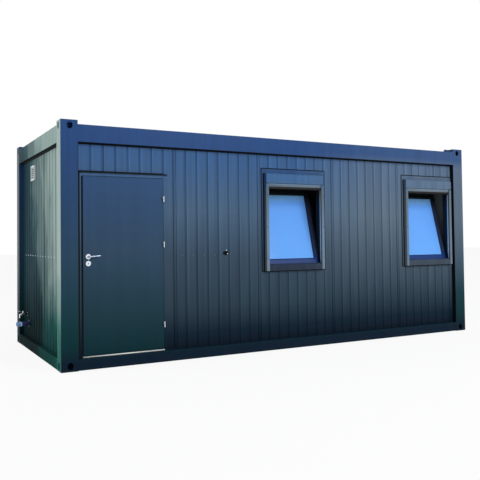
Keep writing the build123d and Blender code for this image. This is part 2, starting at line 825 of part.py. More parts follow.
# Louvred vent: a frame on the wall and blades that slope down and outwards
vent_along = width - vent_from_back
vent_level = roof_bottom - vent_drop
blade_start = vent_along - (vent_width - vent_border) / 2
blade_bottom = vent_level - vent_height / 2 + vent_border
blade_front = vent_depth - vent_edge
blade_pitch = (vent_height - 2 * vent_border) / vent_blade_count
blade_margin = (blade_pitch - vent_blade_rise - vent_blade_thickness) / 2
blade_corner = left_face.from_local_coords((blade_start, blade_bottom + blade_margin, recess))
with BuildPart() as vent_grille:
    with BuildSketch(left_face.offset(recess)):
        with Locations((vent_along, vent_level)):
            Rectangle(vent_width, vent_height)
    extrude(amount=-vent_depth)
    fillet(vent_grille.faces().sort_by(Axis.X)[0].edges(), radius=vent_edge)
    with BuildSketch(left_face.offset(recess + overrun)):
        with Locations((vent_along, vent_level)):
            Rectangle(vent_width - 2 * vent_border, vent_height - 2 * vent_border)
    extrude(amount=-(vent_depth + 2 * overrun), mode=Mode.SUBTRACT)
    with BuildSketch(Plane(blade_corner, x_dir=(-1, 0, 0), z_dir=(0, 1, 0))):
        with Locations(*[(0, blade_pitch * count) for count in range(vent_blade_count)]):
            Polygon(
                (blade_front, 0),
                (blade_front, vent_blade_thickness),
                (vent_blade_gap, vent_blade_rise + vent_blade_thickness),
                (vent_blade_gap, vent_blade_rise),
                align=None,
            )
    extrude(amount=vent_width - vent_border)

# Drain pipe with its wall flange
drain_axis = end_wall_axis(drain_from_back, drain_height)
with BuildPart() as drain_pipe:
    with BuildSketch(drain_axis):
        Circle(drain_flange_radius)
    extrude(amount=drain_flange_thickness)
    with BuildSketch(drain_axis):
        Circle(drain_radius)
    extrude(amount=drain_length)
    with BuildSketch(drain_axis.offset(drain_flange_thickness)):
        Circle(drain_radius - drain_wall)
    extrude(amount=drain_length, mode=Mode.SUBTRACT)

pieces = {
    "bottom_castings": bottom_castings,
    "top_castings": top_castings,
    "front_left_post": front_left_post,
    "front_right_post": front_right_post,
    "back_left_post": back_left_post,
    "back_right_post": back_right_post,
    "floor_beam_front": floor_beam_front,
    "floor_beam_back": floor_beam_back,
    "floor_beam_left": floor_beam_left,
    "floor_beam_right": floor_beam_right,
    "floor_joists": floor_joists,
    "floor_deck": floor_deck,
    "roof_beam_front": roof_beam_front,
    "roof_beam_back": roof_beam_back,
    "roof_beam_left": roof_beam_left,
    "roof_beam_right": roof_beam_right,
    "roof_sheet": roof_sheet,
    "ceiling_panel": ceiling_panel,
    "back_panels": back_panels,
    "left_end_panels": left_end_panels,
    "right_end_panels": right_end_panels,
    "front_panel_left": front_panel_left,
    "front_panel_middle": front_panel_middle,
    "left_window_panel": left_window_panel,
    "right_window_panel": right_window_panel,
    "door_header_panel": door_header_panel,
    "door_side_panel": door_side_panel,
    "door_frame": door_frame,
    "door_threshold": door_threshold,
    "door_leaf": door_leaf,
    "door_roses": door_roses,
    "door_lever": door_lever,
    "hinge_frame_halves": hinge_frame_halves,
    "hinge_leaf_halves": hinge_leaf_halves,
    "door_buffer": door_buffer,
    "window_surrounds": window_surrounds,
    "window_frames": window_frames,
    "window_sashes": window_sashes,
    "window_panes": window_panes,
    "shutter_boxes": shutter_boxes,
    "shutter_guides": shutter_guides,
    "shutter_bars": shutter_bars,
    "water_tap": water_tap,
    "tap_handle": tap_handle,
    "vent_grille": vent_grille,
    "drain_pipe": drain_pipe,
}
os.makedirs("parts", exist_ok=True)
for name, piece in pieces.items():
    piece.part.label = name
    export_step(piece.part, f"parts/{name}.step")
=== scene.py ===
# %% [markdown]
# A toilet cabin in a steel container frame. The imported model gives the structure, in metres, with the origin
# on the ground under the middle, +Z up and the front wall towards -Y. This lesson dresses it: every surface
# gets a finish, small parts such as screws, seals and beads are worked out with numpy, and a camera is set
# up. The frame is loaded first, because each later piece takes its place from the boxes of its nodes.

# %% Load the frame
import math

import bmesh
import bpy
import numpy as np
from mathutils import Matrix, Vector


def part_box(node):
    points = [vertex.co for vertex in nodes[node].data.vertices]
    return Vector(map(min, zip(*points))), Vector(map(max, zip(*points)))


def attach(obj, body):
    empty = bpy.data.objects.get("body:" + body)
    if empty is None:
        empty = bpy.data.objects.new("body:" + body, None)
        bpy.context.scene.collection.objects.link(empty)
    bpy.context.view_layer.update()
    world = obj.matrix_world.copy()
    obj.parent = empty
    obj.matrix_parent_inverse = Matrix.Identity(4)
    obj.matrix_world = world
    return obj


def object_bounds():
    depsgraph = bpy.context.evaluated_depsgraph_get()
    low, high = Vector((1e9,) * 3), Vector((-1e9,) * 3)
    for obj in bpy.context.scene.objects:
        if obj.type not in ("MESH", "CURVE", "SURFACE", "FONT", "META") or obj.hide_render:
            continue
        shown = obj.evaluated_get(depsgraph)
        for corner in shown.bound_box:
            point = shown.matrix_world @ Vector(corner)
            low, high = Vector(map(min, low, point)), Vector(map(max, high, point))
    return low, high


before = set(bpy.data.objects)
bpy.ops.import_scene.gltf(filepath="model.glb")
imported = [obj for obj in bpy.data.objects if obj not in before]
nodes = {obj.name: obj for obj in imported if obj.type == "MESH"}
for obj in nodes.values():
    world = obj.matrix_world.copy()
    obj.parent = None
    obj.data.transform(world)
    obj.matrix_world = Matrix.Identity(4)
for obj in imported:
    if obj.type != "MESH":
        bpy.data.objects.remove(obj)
cad_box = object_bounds()
scene = bpy.context.scene
print("nodes in the frame:", len(nodes))

# %% [markdown]
# The camera repeats the photograph's view: left of the front, at chest height, with a lens that keeps the
# uprights almost upright. It could be placed by hand, but a written position, heading and roll can be read
# and changed. The lens shift moves the picture a little without turning the camera.

# %% Camera
CAMERA_PLACE = Vector((-4.719, -7.982, 1.400))
CAMERA_HEADING = math.radians(27.72)
CAMERA_RISE = math.radians(1.573)
CAMERA_ROLL = math.radians(-0.605)
SENSOR_WIDTH = 36.0
FOCAL_SHARE = 1.3307
SHIFT_SHARES = (0.05, -0.0390)

aim = Matrix.Identity(4)
for angle, axis in ((-CAMERA_HEADING, "Z"), (math.pi / 2 + CAMERA_RISE, "X"), (CAMERA_ROLL, "Z")):
    aim = aim @ Matrix.Rotation(angle, 4, axis)
lens = bpy.data.cameras.new("photo_lens")
lens.sensor_width = SENSOR_WIDTH
lens.lens = SENSOR_WIDTH * FOCAL_SHARE
lens.shift_x, lens.shift_y = SHIFT_SHARES
camera = bpy.data.objects.new("photo_camera", lens)
camera.matrix_world = aim
camera.location = CAMERA_PLACE
scene.collection.objects.link(camera)
scene.camera = camera
print("lens length in mm:", round(lens.lens, 2))

# %% [markdown]
# A material here is a small net of nodes. Writing each link by hand is long, so a few helpers make a node
# with its values and join it to the others. Patterns read Object coordinates: each piece keeps the cabin's
# origin, so those are metres in the cabin's own frame.

# %% Helpers for materials


def new_material(name):
    """Start a material and return it with its net of nodes and its main shader."""
    material = bpy.data.materials.new(name)
    material.use_nodes = True
    net = material.node_tree
    return material, net, net.nodes["Principled BSDF"]


def node(net, kind, links=None, **settings):
    """Add a node, set its properties and sockets by name, and join the sockets given in links."""
    made = net.nodes.new(kind)
    for key, value in settings.items():
        if hasattr(made, key):
            setattr(made, key, value)
        else:
            made.inputs[key].default_value = value
    for socket, source in (links or {}).items():
        net.links.new(source, made.inputs[socket])
    return made


def ramp(net, factor, stops):
    """Turn a value into a colour through a row of (place, (red, green, blue)) stops."""
    made = net.nodes.new("ShaderNodeValToRGB")
    net.links.new(factor, made.inputs["Fac"])
    while len(made.color_ramp.elements) < len(stops):
        made.color_ramp.elements.new(0.5)
    for element, (place, colour) in zip(made.color_ramp.elements, stops):
        element.position = place
        element.color = (*colour, 1.0)
    return made.outputs["Color"]


def object_axes(net):
    """Give the Object coordinates as one vector and as x, y and z."""
    where = node(net, "ShaderNodeTexCoord").outputs["Object"]
    split = node(net, "ShaderNodeSeparateXYZ", {"Vector": where})
    return where, split.outputs["X"], split.outputs["Y"], split.outputs["Z"]


def feed(net, socket, value):
    """Give a socket a number, a colour of three numbers or a link from another socket."""
    if isinstance(value, tuple):
        socket.default_value = (*value, 1.0)
    elif isinstance(value, (int, float)):
        socket.default_value = value
    else:
        net.links.new(value, socket)


def maths(operation):
    """Make a function that adds a node for one operation on sockets or numbers."""
    def add_node(net, first, second=0.0):
        made = node(net, "ShaderNodeMath", operation=operation)
        feed(net, made.inputs[0], first)
        feed(net, made.inputs[1], second)
        return made.outputs["Value"]
    return add_node


plus, minus, times, over = maths("ADD"), maths("SUBTRACT"), maths("MULTIPLY"), maths("DIVIDE")
above, below, larger = maths("GREATER_THAN"), maths("LESS_THAN"), maths("MAXIMUM")
size_of, fraction = maths("ABSOLUTE"), maths("FRACT")


def noise(net, where, scale, stretch=(1.0, 1.0, 1.0), detail=4.0):
    """Noise from 0 to 1 on stretched Object coordinates."""
    placed = node(net, "ShaderNodeMapping", {"Vector": where}, Scale=stretch)
    links = {"Vector": placed.outputs["Vector"]}
    return node(net, "ShaderNodeTexNoise", links, Scale=scale, Detail=detail).outputs["Fac"]


def mixed(net, factor, first, second, blend="MIX"):
    """Mix two colours, through the sockets that a Mix node keeps for colours: 0, 6 and 7 in, 2 out."""
    made = node(net, "ShaderNodeMix", data_type="RGBA", blend_type=blend)
    for socket, value in ((0, factor), (6, first), (7, second)):
        feed(net, made.inputs[socket], value)
    return made.outputs[2]


def fill(net, shader, colour, roughness, metallic=0.0, gloss=0.5):
    """Give the main shader its colour, roughness, metallic share and gloss, as sockets or numbers."""
    values = {"Base Color": colour, "Roughness": roughness, "Metallic": metallic, "Specular IOR Level": gloss}
    for name, value in values.items():
        feed(net, shader.inputs[name], value)


def bumped(net, shader, height, strength, distance):
    """Let a height value roughen the surface's normal."""
    made = node(net, "ShaderNodeBump", {"Height": height}, Strength=strength, Distance=distance)
    net.links.new(made.outputs["Normal"], shader.inputs["Normal"])


def screen(red, green, blue):
    """Turn screen values from 0 to 255 into the linear values that sockets take."""
    shares = np.array((red, green, blue)) / 255
    linear = np.where(shares <= 0.04045, shares / 12.92, ((shares + 0.055) / 1.055) ** 2.4)
    return tuple(linear.tolist())


def screen_stops(rows):
    """Colour stops from rows of place, red, green and blue, the colours as screen values."""
    return [(place, screen(*tone)) for place, *tone in rows]


def grey(value):
    """One linear value for red, green and blue alike."""
    return (value, value, value)


print("material helpers ready")

# %% [markdown]
# The frame and the panels wear an anthracite-blue coating. It is not one flat colour: towards the roof a
# painted reflection of the sky gives it a bluer cast, towards the ground a painted reflection of the ground
# darkens it to a blue-green, and towards the right-hand end a painted sheen lightens it. The two ends are
# duller, and greener
# in a painted reflection: a cloudy slanting edge parts a pale upper area from a dark one lower down and
# further back. Each tone is worked out from a point's place, so that the frame, the panels and the door stay
# one family.

# %% Tones of the walls
CABIN_HEIGHT = cad_box[1].z
CABIN_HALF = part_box("bottom_castings")[1].x
# The ends' tones are a painted reflection: pale above a cloudy slanting edge, dark below it and darker still
# near the ground.
END_STOPS = screen_stops([(0.0, 20, 52, 62), (0.10, 36, 70, 76), (0.22, 88, 112, 114),
                          (0.44, 98, 119, 121), (0.60, 134, 156, 152), (0.8, 150, 171, 166)])
END_RISE = 0.55
END_LEAN = 1.6
CLOUD_SCALE = 2.2
CLOUD_STRETCH = (1.0, 2.0, 0.8)
END_CLOUDS = 1.6
LOW_CLOUDS = 0.8
LOW_STOPS = [(0.03, (0.02, 0.26, 0.22)), (0.16, (0.08, 0.38, 0.35)), (0.42, grey(1.0))]


def end_tone(net, where, y, z):
    """Painted reflection on an end: stops that rise upwards and forwards, wander with noise and darken low
    down.
    """
    wander = minus(net, noise(net, where, CLOUD_SCALE, CLOUD_STRETCH), 0.5)
    cloud = times(net, wander, END_CLOUDS)
    upward = times(net, z, END_RISE)
    rise = minus(net, upward, times(net, y, END_LEAN))
    tone = ramp(net, over(net, plus(net, rise, cloud), CABIN_HEIGHT), END_STOPS)
    level = plus(net, z, times(net, cloud, LOW_CLOUDS))
    low_down = ramp(net, over(net, level, CABIN_HEIGHT), LOW_STOPS)
    return mixed(net, 1.0, tone, low_down, "MULTIPLY")


# Painted sheen: a paler grey that lightens the long sides towards the right-hand end.
RIGHT_SHEEN = screen(102, 115, 125)
SHEEN_ALONG = [(0.0, grey(0.0)), (0.4, grey(0.5)), (1.0, grey(0.6))]
SHEEN_UPWARD = [(0.22, grey(0.0)), (0.62, grey(1.0)), (0.89, grey(1.0)), (0.94, grey(0.3))]


def side_tone(net, x, z, stops):
    """Colour of a long side: a painted reflection in stops over the height, lightened by a painted sheen to
    the right between sills and eaves.
    """
    level = over(net, z, CABIN_HEIGHT)
    along = ramp(net, over(net, x, CABIN_HALF), SHEEN_ALONG)
    share = times(net, along, ramp(net, level, SHEEN_UPWARD))
    return mixed(net, share, ramp(net, level, stops), RIGHT_SHEEN)


FLAT_PITCH = 0.14375
FIRST_SEAM = 1.350
EDGE_STOPS = [(0.085, grey(1.0)), (0.10, (1.34, 1.32, 1.28)), (0.15, (1.16, 1.15, 1.13)), (0.26, grey(1.0)),
              (0.80, grey(0.97)), (0.90, (0.86, 0.87, 0.88))]


def edge_light(net, x):
    """Painted light beside each groove: a painted highlight and a darker band, repeated at the grooves' pitch.
    """
    turns = over(net, minus(net, x, FIRST_SEAM - CABIN_HALF), FLAT_PITCH)
    return ramp(net, fraction(net, turns), EDGE_STOPS)


print("tones ready for a height of", round(CABIN_HEIGHT, 3))

# %% [markdown]
# One function makes all coats from colour stops over the height. Rain leaves faint upright streaks, less on
# the smooth frame and door than on the panels, and a fine noise bump gives the slight orange peel of paint.
# The panels are sandwich boards: on the room's side their inner sheet is grey, and painted shade darkens
# their grooves, while painted black covers what stands in front of a board's face, as on the drip over the
# door. How far a point lies behind the board's outer face tells these apart.

# %% Coated steel
END_SLACK = 0.003
BOARD_THICKNESS = 0.060
BOARD_SLACK = 0.002
END_FACE = -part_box("left_end_panels")[0].x
LONG_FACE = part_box("back_panels")[1].y
FRAME_PROUD = 0.010
LINING = screen(128, 138, 145)
JAMB_INSIDE = screen(52, 70, 88)
# Painted shade: the next four lines darken the grooves of the long sides and of the ends, the gap round the
# door and, in black, what stands in front of a board's face.
GROOVE_SHADE = (0.74, 0.76, 0.78)
END_GROOVE_SHADE = (0.40, 0.43, 0.45)
GAP_SHADE = (0.12, 0.13, 0.14)
SHADE_BLACK = screen(8, 14, 18)
COAT_GLOSS = 0.06
END_GLOSS = 0.04
STREAK_SCALE = 5.0
STREAK_STRETCH = (3.0, 3.0, 0.12)
STREAK_LIGHT = 1.04
STREAK_ROUGH = 0.16
DUST = screen(120, 125, 122)
DUST_SCALE = 9.0
DUST_SHARE = 0.03
DUST_TOP = 0.3
LOW_ROUGH = 0.3
PEEL_SCALE = 260.0


def coated_steel(name, stops, roughness, gloss=COAT_GLOSS, board=None, grooved_sides=False, streaky=0.20):
    """Coat over steel: an end's or a long side's painted reflection, with rain streaks, dust low down and
    orange peel.

    Without stops, or at the outer plane of an end, it takes the ends' painted reflection. A board gives the
    axis across it, its outer face's distance from the middle, and tones for what lies in front of that face,
    in the grooves behind it and at its inner face; the first two are painted shade, black in front and darker
    in the grooves. Grooved sides get a painted highlight along one edge of each groove. The darkest streaks
    take away the share that streaky gives.
    """
    material, net, shader = new_material(name)
    where, x, y, z = object_axes(net)
    # Painted reflection: the ends' tone first, and on the long sides the stops over the height with their
    # painted sheen.
    colour = end_tone(net, where, y, z)
    if stops:
        on_side = below(net, size_of(net, x), CABIN_HALF - END_SLACK)
        colour = mixed(net, on_side, colour, side_tone(net, x, z, screen_stops(stops)))
    streaks = noise(net, where, STREAK_SCALE, STREAK_STRETCH)
    streak_tone = ramp(net, streaks, [(0.3, grey(1.0 - streaky)), (0.7, grey(STREAK_LIGHT))])
    colour = mixed(net, 1.0, colour, streak_tone, "MULTIPLY")
    # Painted highlight and painted shade beside each groove.
    if grooved_sides:
        colour = mixed(net, 1.0, colour, edge_light(net, x), "MULTIPLY")
    dust_low = ramp(net, z, [(0.0, grey(1.0)), (DUST_TOP, grey(0.0))])
    specks = noise(net, where, DUST_SCALE)
    dust = times(net, specks, times(net, dust_low, DUST_SHARE))
    colour = mixed(net, dust, colour, DUST)
    dull_low = ramp(net, z, [(0.0, grey(LOW_ROUGH)), (1.0, grey(0.0))])
    rough = plus(net, times(net, streaks, STREAK_ROUGH), roughness - STREAK_ROUGH / 2)
    rough = plus(net, rough, dull_low)
    # Painted shade: black in front of the board's face, and darker in its grooves.
    if board:
        axis, face, proud, grooved, inner = board
        depth = minus(net, face, size_of(net, (x, y)[axis]))
        share = over(net, depth, BOARD_THICKNESS)
        groove_shading = ramp(net, share, [(0.01, grey(1.0)), (0.09, grooved)])
        colour = mixed(net, 1.0, colour, groove_shading, "MULTIPLY")
        lining = above(net, depth, BOARD_THICKNESS - BOARD_SLACK)
        colour = mixed(net, lining, colour, inner)
        colour = mixed(net, below(net, depth, -BOARD_SLACK), colour, proud)
    fill(net, shader, colour, rough, gloss=gloss)
    bumped(net, shader, noise(net, where, PEEL_SCALE, detail=2.0), strength=0.04, distance=0.002)
    return material


# Painted reflection: in each coat below, the stops over the height run from the dark ground's reflection near
# the foot to the sky's bluer reflection towards the roof.
frame_coat = coated_steel("frame_coat", [
    (0.03, 2, 23, 41), (0.10, 6, 46, 51), (0.17, 14, 52, 57), (0.46, 41, 67, 89), (0.80, 39, 68, 110),
    (0.95, 35, 69, 120)], 0.32, streaky=0.10)
PANEL_STOPS = [(0.06, 2, 20, 36), (0.11, 12, 32, 48), (0.22, 44, 62, 75), (0.45, 59, 77, 95),
               (0.64, 72, 97, 122), (0.88, 56, 92, 138)]
panel_coat = coated_steel("panel_coat", PANEL_STOPS, 0.34, grooved_sides=True,
                          board=(1, LONG_FACE, SHADE_BLACK, GROOVE_SHADE, LINING))
jamb_coat = coated_steel("jamb_coat", PANEL_STOPS, 0.36,
                         board=(1, LONG_FACE + FRAME_PROUD, SHADE_BLACK, GAP_SHADE, JAMB_INSIDE))
end_coat = coated_steel("end_coat", None, 0.60, END_GLOSS, board=(0, END_FACE, SHADE_BLACK, END_GROOVE_SHADE, LINING))
end_beam_coat = coated_steel("end_beam_coat", None, 0.60, END_GLOSS)
door_coat = coated_steel("door_coat", [
    (0.06, 6, 42, 50), (0.24, 29, 57, 68), (0.48, 48, 70, 92), (0.76, 46, 74, 111)], 0.36, streaky=0.06)
trim_coat = coated_steel("trim_coat", [
    (0.38, 44, 54, 70), (0.415, 44, 56, 74), (0.43, 30, 52, 82), (0.48, 38, 62, 92), (0.76, 48, 80, 124),
    (0.84, 44, 76, 120)], 0.36)
shutter_coat = coated_steel("shutter_coat", [
    (0.36, 108, 124, 138), (0.55, 108, 128, 146), (0.74, 86, 104, 120), (0.79, 62, 98, 142)], 0.40)
print("outer faces of the boards from the middle:", round(END_FACE, 3), round(LONG_FACE, 3))

# %% [markdown]
# Bare metals come next: satin stainless steel on the lever and its roses, mill-finish aluminium on the
# threshold, chrome on the tap and galvanised steel on the roof sheet and joists. Near the wall the tap's
# chrome takes a painted shade. The hinges are bare only in a narrow strip along the front of their barrels, a
# painted highlight. A brushed look is a noise that is stretched along one axis, and zinc's spangle is a
# Voronoi pattern of cells that differ a little in tone.

# %% Bare metals
# Painted shade: this dark tone covers the tap's parts nearer the wall than the place along x on the next line.
WALL_SHADE = screen(58, 66, 56)
TAP_SHADE_FROM = -3.006
BRUSH_SCALE = 60.0
BRUSH_ROUGH = 0.15
BRUSH_SMOOTH = 0.07
WORN = 0.8


def worn(net, grain, tone):
    """Let noise pick between a tone and a darker one."""
    return ramp(net, grain, [(0.3, tuple(value * WORN for value in tone)), (0.7, tone)])


def bare_metal(name, tone, roughness, brush, metallic=1.0, shade_from=None):
    """Bare metal: a tone varied by noise that brush stretches; beyond a given place along x it takes a painted
    shade.
    """
    material, net, shader = new_material(name)
    where, x, _, _ = object_axes(net)
    grain = noise(net, where, BRUSH_SCALE, brush)
    colour = worn(net, grain, tone)
    if shade_from is not None:
        colour = mixed(net, above(net, x, shade_from), colour, WALL_SHADE)
    rough = plus(net, times(net, grain, BRUSH_ROUGH), roughness - BRUSH_SMOOTH)
    fill(net, shader, colour, rough, metallic)
    bumped(net, shader, grain, strength=0.03, distance=0.001)
    return material


SPANGLE_SCALE = 45.0
SPANGLE_STOPS = screen_stops([(0.0, 150, 154, 156), (1.0, 196, 199, 200)])
STAIN = screen(120, 122, 120)
STAIN_SCALE = 1.6
STAIN_SHARE = 0.35


def zinc_sheet(name):
    """Galvanised steel: Voronoi spangle cells of slightly different greys, with slow stains."""
    material, net, shader = new_material(name)
    where = object_axes(net)[0]
    flakes = node(net, "ShaderNodeTexVoronoi", {"Vector": where}, Scale=SPANGLE_SCALE)
    spangle = node(net, "ShaderNodeSeparateColor", {"Color": flakes.outputs["Color"]}).outputs[0]
    stains = times(net, noise(net, where, STAIN_SCALE), STAIN_SHARE)
    colour = mixed(net, stains, ramp(net, spangle, SPANGLE_STOPS), STAIN)
    rough = plus(net, times(net, spangle, 0.2), 0.35)
    fill(net, shader, colour, rough, metallic=0.8)
    return material


leaf_low, leaf_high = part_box("door_leaf")
PIN_ASIDE = 0.0025
PIN_FORWARD = 0.010
pin_x, pin_y = leaf_high.x + PIN_ASIDE, leaf_low.y - PIN_FORWARD
BARREL_REACH = 0.0083
# Half the width of the bare strip on a barrel's front, which makes its painted highlight.
BARE_HALF = 0.0058


def hinge_metal(name, tone, paint, roughness):
    """Barrel hinges: bare only in a narrow strip down the barrel's front, which makes a painted highlight,
    and painted over on the barrel's sides and the wings.
    """
    material, net, shader = new_material(name)
    where, x, y, _ = object_axes(net)
    from_pin = [minus(net, value, pin) for value, pin in ((x, pin_x), (y, pin_y))]
    squares = [times(net, value, value) for value in from_pin]
    off_barrel = above(net, plus(net, *squares), BARREL_REACH ** 2)
    on_side = above(net, squares[0], BARE_HALF ** 2)
    painted = larger(net, off_barrel, on_side)
    colour = mixed(net, painted, worn(net, noise(net, where, BRUSH_SCALE), tone), paint)
    fill(net, shader, colour, roughness, metallic=minus(net, 1.0, painted))
    return material


satin_steel = bare_metal("satin_steel", screen(210, 217, 225), 0.34, (1.0, 1.0, 8.0))
lever_steel = bare_metal("lever_steel", screen(166, 178, 196), 0.34, (0.3, 4.0, 4.0))
hinge_steel = hinge_metal("hinge_steel", screen(204, 212, 214), screen(40, 58, 78), 0.34)
threshold_metal = bare_metal("threshold_metal", screen(244, 247, 242), 0.42, (0.2, 6.0, 6.0), metallic=0.4)
tap_chrome = bare_metal("tap_chrome", screen(232, 236, 240), 0.18, (1.0, 1.0, 1.0), shade_from=TAP_SHADE_FROM)
zinc = zinc_sheet("zinc_sheet")
print("bare metals ready")

# %% [markdown]
# The remaining finishes are rubber, the dark profiles of the windows, the shutters' end bars, the panes, the
# floor, the ceiling, the vent and the blue drain. A pane's blue is a painted reflection of the sky: a ramp
# over the height, a little paler at both ends and paler still at the top, painted light against the shade of
# the box, under a smooth surface, so that it reads as glass from every side.

# %% Other finishes
MOTTLE_ROUGH = 0.2
UPWARDS = 2
SIDEWAYS = 0


def mottled(name, dark, light, scale, roughness, bump, stretch=(1.0, 1.0, 1.0), gloss=0.4):
    """A dull finish: noise picks between two tones, and the same noise roughens the surface."""
    material, net, shader = new_material(name)
    where = object_axes(net)[0]
    grain = noise(net, where, scale, stretch)
    colour = ramp(net, grain, [(0.3, dark), (0.7, light)])
    rough = plus(net, times(net, grain, MOTTLE_ROUGH), roughness - MOTTLE_ROUGH / 2)
    fill(net, shader, colour, rough, gloss=gloss)
    bumped(net, shader, grain, bump, distance=0.002)
    return material


def banded(name, node_name, axis, stops, scale, drift, roughness, gloss=0.2):
    """A finish whose colour follows one axis of a node's box, from 0 to 1, with slow drifts of tone."""
    material, net, shader = new_material(name)
    where, *axes = object_axes(net)
    low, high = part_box(node_name)
    share = over(net, minus(net, axes[axis], low[axis]), high[axis] - low[axis])
    wander = minus(net, noise(net, where, scale), 0.5)
    colour = ramp(net, plus(net, share, times(net, wander, drift)), screen_stops(stops))
    fill(net, shader, colour, roughness, gloss=gloss)
    return material


# This black serves the rubber parts and also the black strips and plugs that are painted shade.
black_rubber = mottled("black_rubber", screen(5, 9, 12), screen(14, 18, 21), scale=120.0, roughness=0.7,
                       bump=0.15, gloss=0.1)
frame_profile = mottled("frame_profile", screen(10, 16, 20), screen(20, 28, 34), scale=14.0, roughness=0.5,
                        bump=0.03, stretch=(1.0, 1.0, 0.3), gloss=0.15)
# Painted shadow: near its top the sash turns almost black, under the shutter box.
sash_profile = banded("sash_profile", "window_sashes", UPWARDS, [
    (0.0, 8, 48, 112), (0.08, 10, 48, 110), (0.15, 38, 52, 84), (0.75, 34, 44, 70), (0.92, 10, 14, 18)],
    scale=14.0, drift=0.04, roughness=0.42)
# Painted shade: the end bar is near black on its lower part and pale grey above.
bar_coat = banded("bar_coat", "shutter_bars", UPWARDS, [
    (0.44, 2, 4, 5), (0.5, 128, 140, 150), (1.0, 112, 128, 142)], scale=14.0, drift=0.02, roughness=0.55)
deck_floor = mottled("deck_floor", screen(104, 108, 110), screen(134, 137, 138), scale=90.0, roughness=0.55,
                     bump=0.05)
pale_ceiling = mottled("pale_ceiling", screen(218, 220, 219), screen(230, 231, 229), scale=6.0, roughness=0.6,
                       bump=0.02)
vent_white = mottled("vent_white", screen(206, 214, 214), screen(224, 230, 230), scale=30.0, roughness=0.45,
                     bump=0.02)
# Painted reflection of the sky, with painted light at the top against the shade of the box.
pane_glass = banded("pane_glass", "window_panes", UPWARDS, [
    (0.0, 104, 166, 240), (0.45, 102, 162, 240), (0.86, 100, 160, 240), (1.0, 140, 204, 255)],
    scale=1.3, drift=0.12, roughness=0.06, gloss=0.05)
# Painted sunlight and shade: pale blue at the pipe's outer end, dark blue nearer the wall and darker still at
# the wall.
drain_blue = banded("drain_blue", "drain_pipe", SIDEWAYS, [
    (0.0, 158, 202, 252), (0.38, 130, 178, 244), (0.44, 52, 58, 120), (0.9, 38, 44, 84),
    (0.94, 16, 30, 40)], scale=40.0, drift=0.06, roughness=0.42)
print("other finishes ready")

# %% [markdown]
# Each CAD node keeps its shape and only takes a finish. A table from finish to node names is easy to read and
# to check, and a node that no row names shows up in the printed list.

# %% Dress the frame's nodes
DRESS = [
    (frame_coat, "bottom_castings top_castings"),
    (frame_coat, "front_left_post front_right_post back_left_post back_right_post"),
    (frame_coat, "floor_beam_front floor_beam_back roof_beam_front roof_beam_back"),
    (end_beam_coat, "floor_beam_left floor_beam_right roof_beam_left roof_beam_right"),
    (end_coat, "left_end_panels right_end_panels"),
    (panel_coat, "back_panels front_panel_left front_panel_middle"),
    (panel_coat, "left_window_panel right_window_panel door_header_panel door_side_panel"),
    (door_coat, "door_leaf"),
    (jamb_coat, "door_frame"),
    (trim_coat, "window_surrounds"),
    (shutter_coat, "shutter_boxes shutter_guides"),
    (bar_coat, "shutter_bars"),
    (frame_profile, "window_frames"),
    (sash_profile, "window_sashes"),
    (pane_glass, "window_panes"),
    (satin_steel, "door_roses"),
    (lever_steel, "door_lever"),
    (hinge_steel, "hinge_leaf_halves hinge_frame_halves"),
    (threshold_metal, "door_threshold"),
    (black_rubber, "door_buffer"),
    (tap_chrome, "water_tap tap_handle"),
    (drain_blue, "drain_pipe"),
    (vent_white, "vent_grille"),
    (zinc, "roof_sheet floor_joists"),
    (deck_floor, "floor_deck"),
    (pale_ceiling, "ceiling_panel"),
]
dressed = set()
for finish, names in DRESS:
    for name in names.split():
        nodes[name].data.materials.clear()
        nodes[name].data.materials.append(finish)
        dressed.add(name)
print("nodes without a finish:", sorted(set(nodes) - dressed))

# %% [markdown]
# Small parts are grids of points. A grid has rows and columns, and each cell of four points is one face, so a
# whole part is one array. Several copies of a grid can be stacked in one more axis, which is how dozens of
# screws become one mesh. Points that fall together, as at the tip of a dome, are merged afterwards.

# %% Helpers for pieces
X, Y, Z = np.eye(3)
OUT_FRONT = (X, Z, -Y)
OUT_BACK = (-X, Z, Y)
OUT_LEFT = (-Y, Z, -X)
OUT_RIGHT = (Y, Z, X)
OUT_TOP = (X, Y, Z)
OUT_BOTTOM = (X, -Y, -Z)
MERGE_DISTANCE = 1e-6
DOME_SIDES = 10
RUBBER_AND_SHADE = (black_rubber, "black_rubber")
STEEL = (satin_steel, "handle_steel")


def cells(points, close_rows, start):
    """Number each cell of stacked grids by its four corners; columns close, and rows close if asked."""
    copies, rows, columns = points.shape[:3]
    index = start + np.arange(copies * rows * columns).reshape(copies, rows, columns)
    if close_rows:
        index = np.concatenate((index, index[:, :1]), axis=1)
    index = np.concatenate((index, index[:, :, :1]), axis=2)
    corners = (index[:, :-1, :-1], index[:, 1:, :-1], index[:, 1:, 1:], index[:, :-1, 1:])
    return np.stack(corners, axis=-1).reshape(-1, 4)


def make_piece(name, grids, finish, slot, body="cabin", close_rows=False, smooth=True):
    """Join stacked grids into one piece: merge doubles, turn faces out, give a finish and ride a body."""
    points, faces = [], []
    for grid in grids:
        stack = grid if grid.ndim == 4 else grid[None]
        faces.append(cells(stack, close_rows, sum(len(part) for part in points)))
        points.append(stack.reshape(-1, 3))
    mesh = bpy.data.meshes.new(name)
    mesh.from_pydata(np.concatenate(points).tolist(), [], np.concatenate(faces).tolist())
    shape = bmesh.new()
    shape.from_mesh(mesh)
    bmesh.ops.remove_doubles(shape, verts=shape.verts, dist=MERGE_DISTANCE)
    bmesh.ops.recalc_face_normals(shape, faces=shape.faces)
    shape.to_mesh(mesh)
    shape.free()
    mesh.polygons.foreach_set("use_smooth", np.full(len(mesh.polygons), smooth))
    mesh.materials.append(finish)
    made = bpy.data.objects.new(name, mesh)
    scene.collection.objects.link(made)
    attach(made, body)
    print(name, "faces:", len(mesh.polygons))


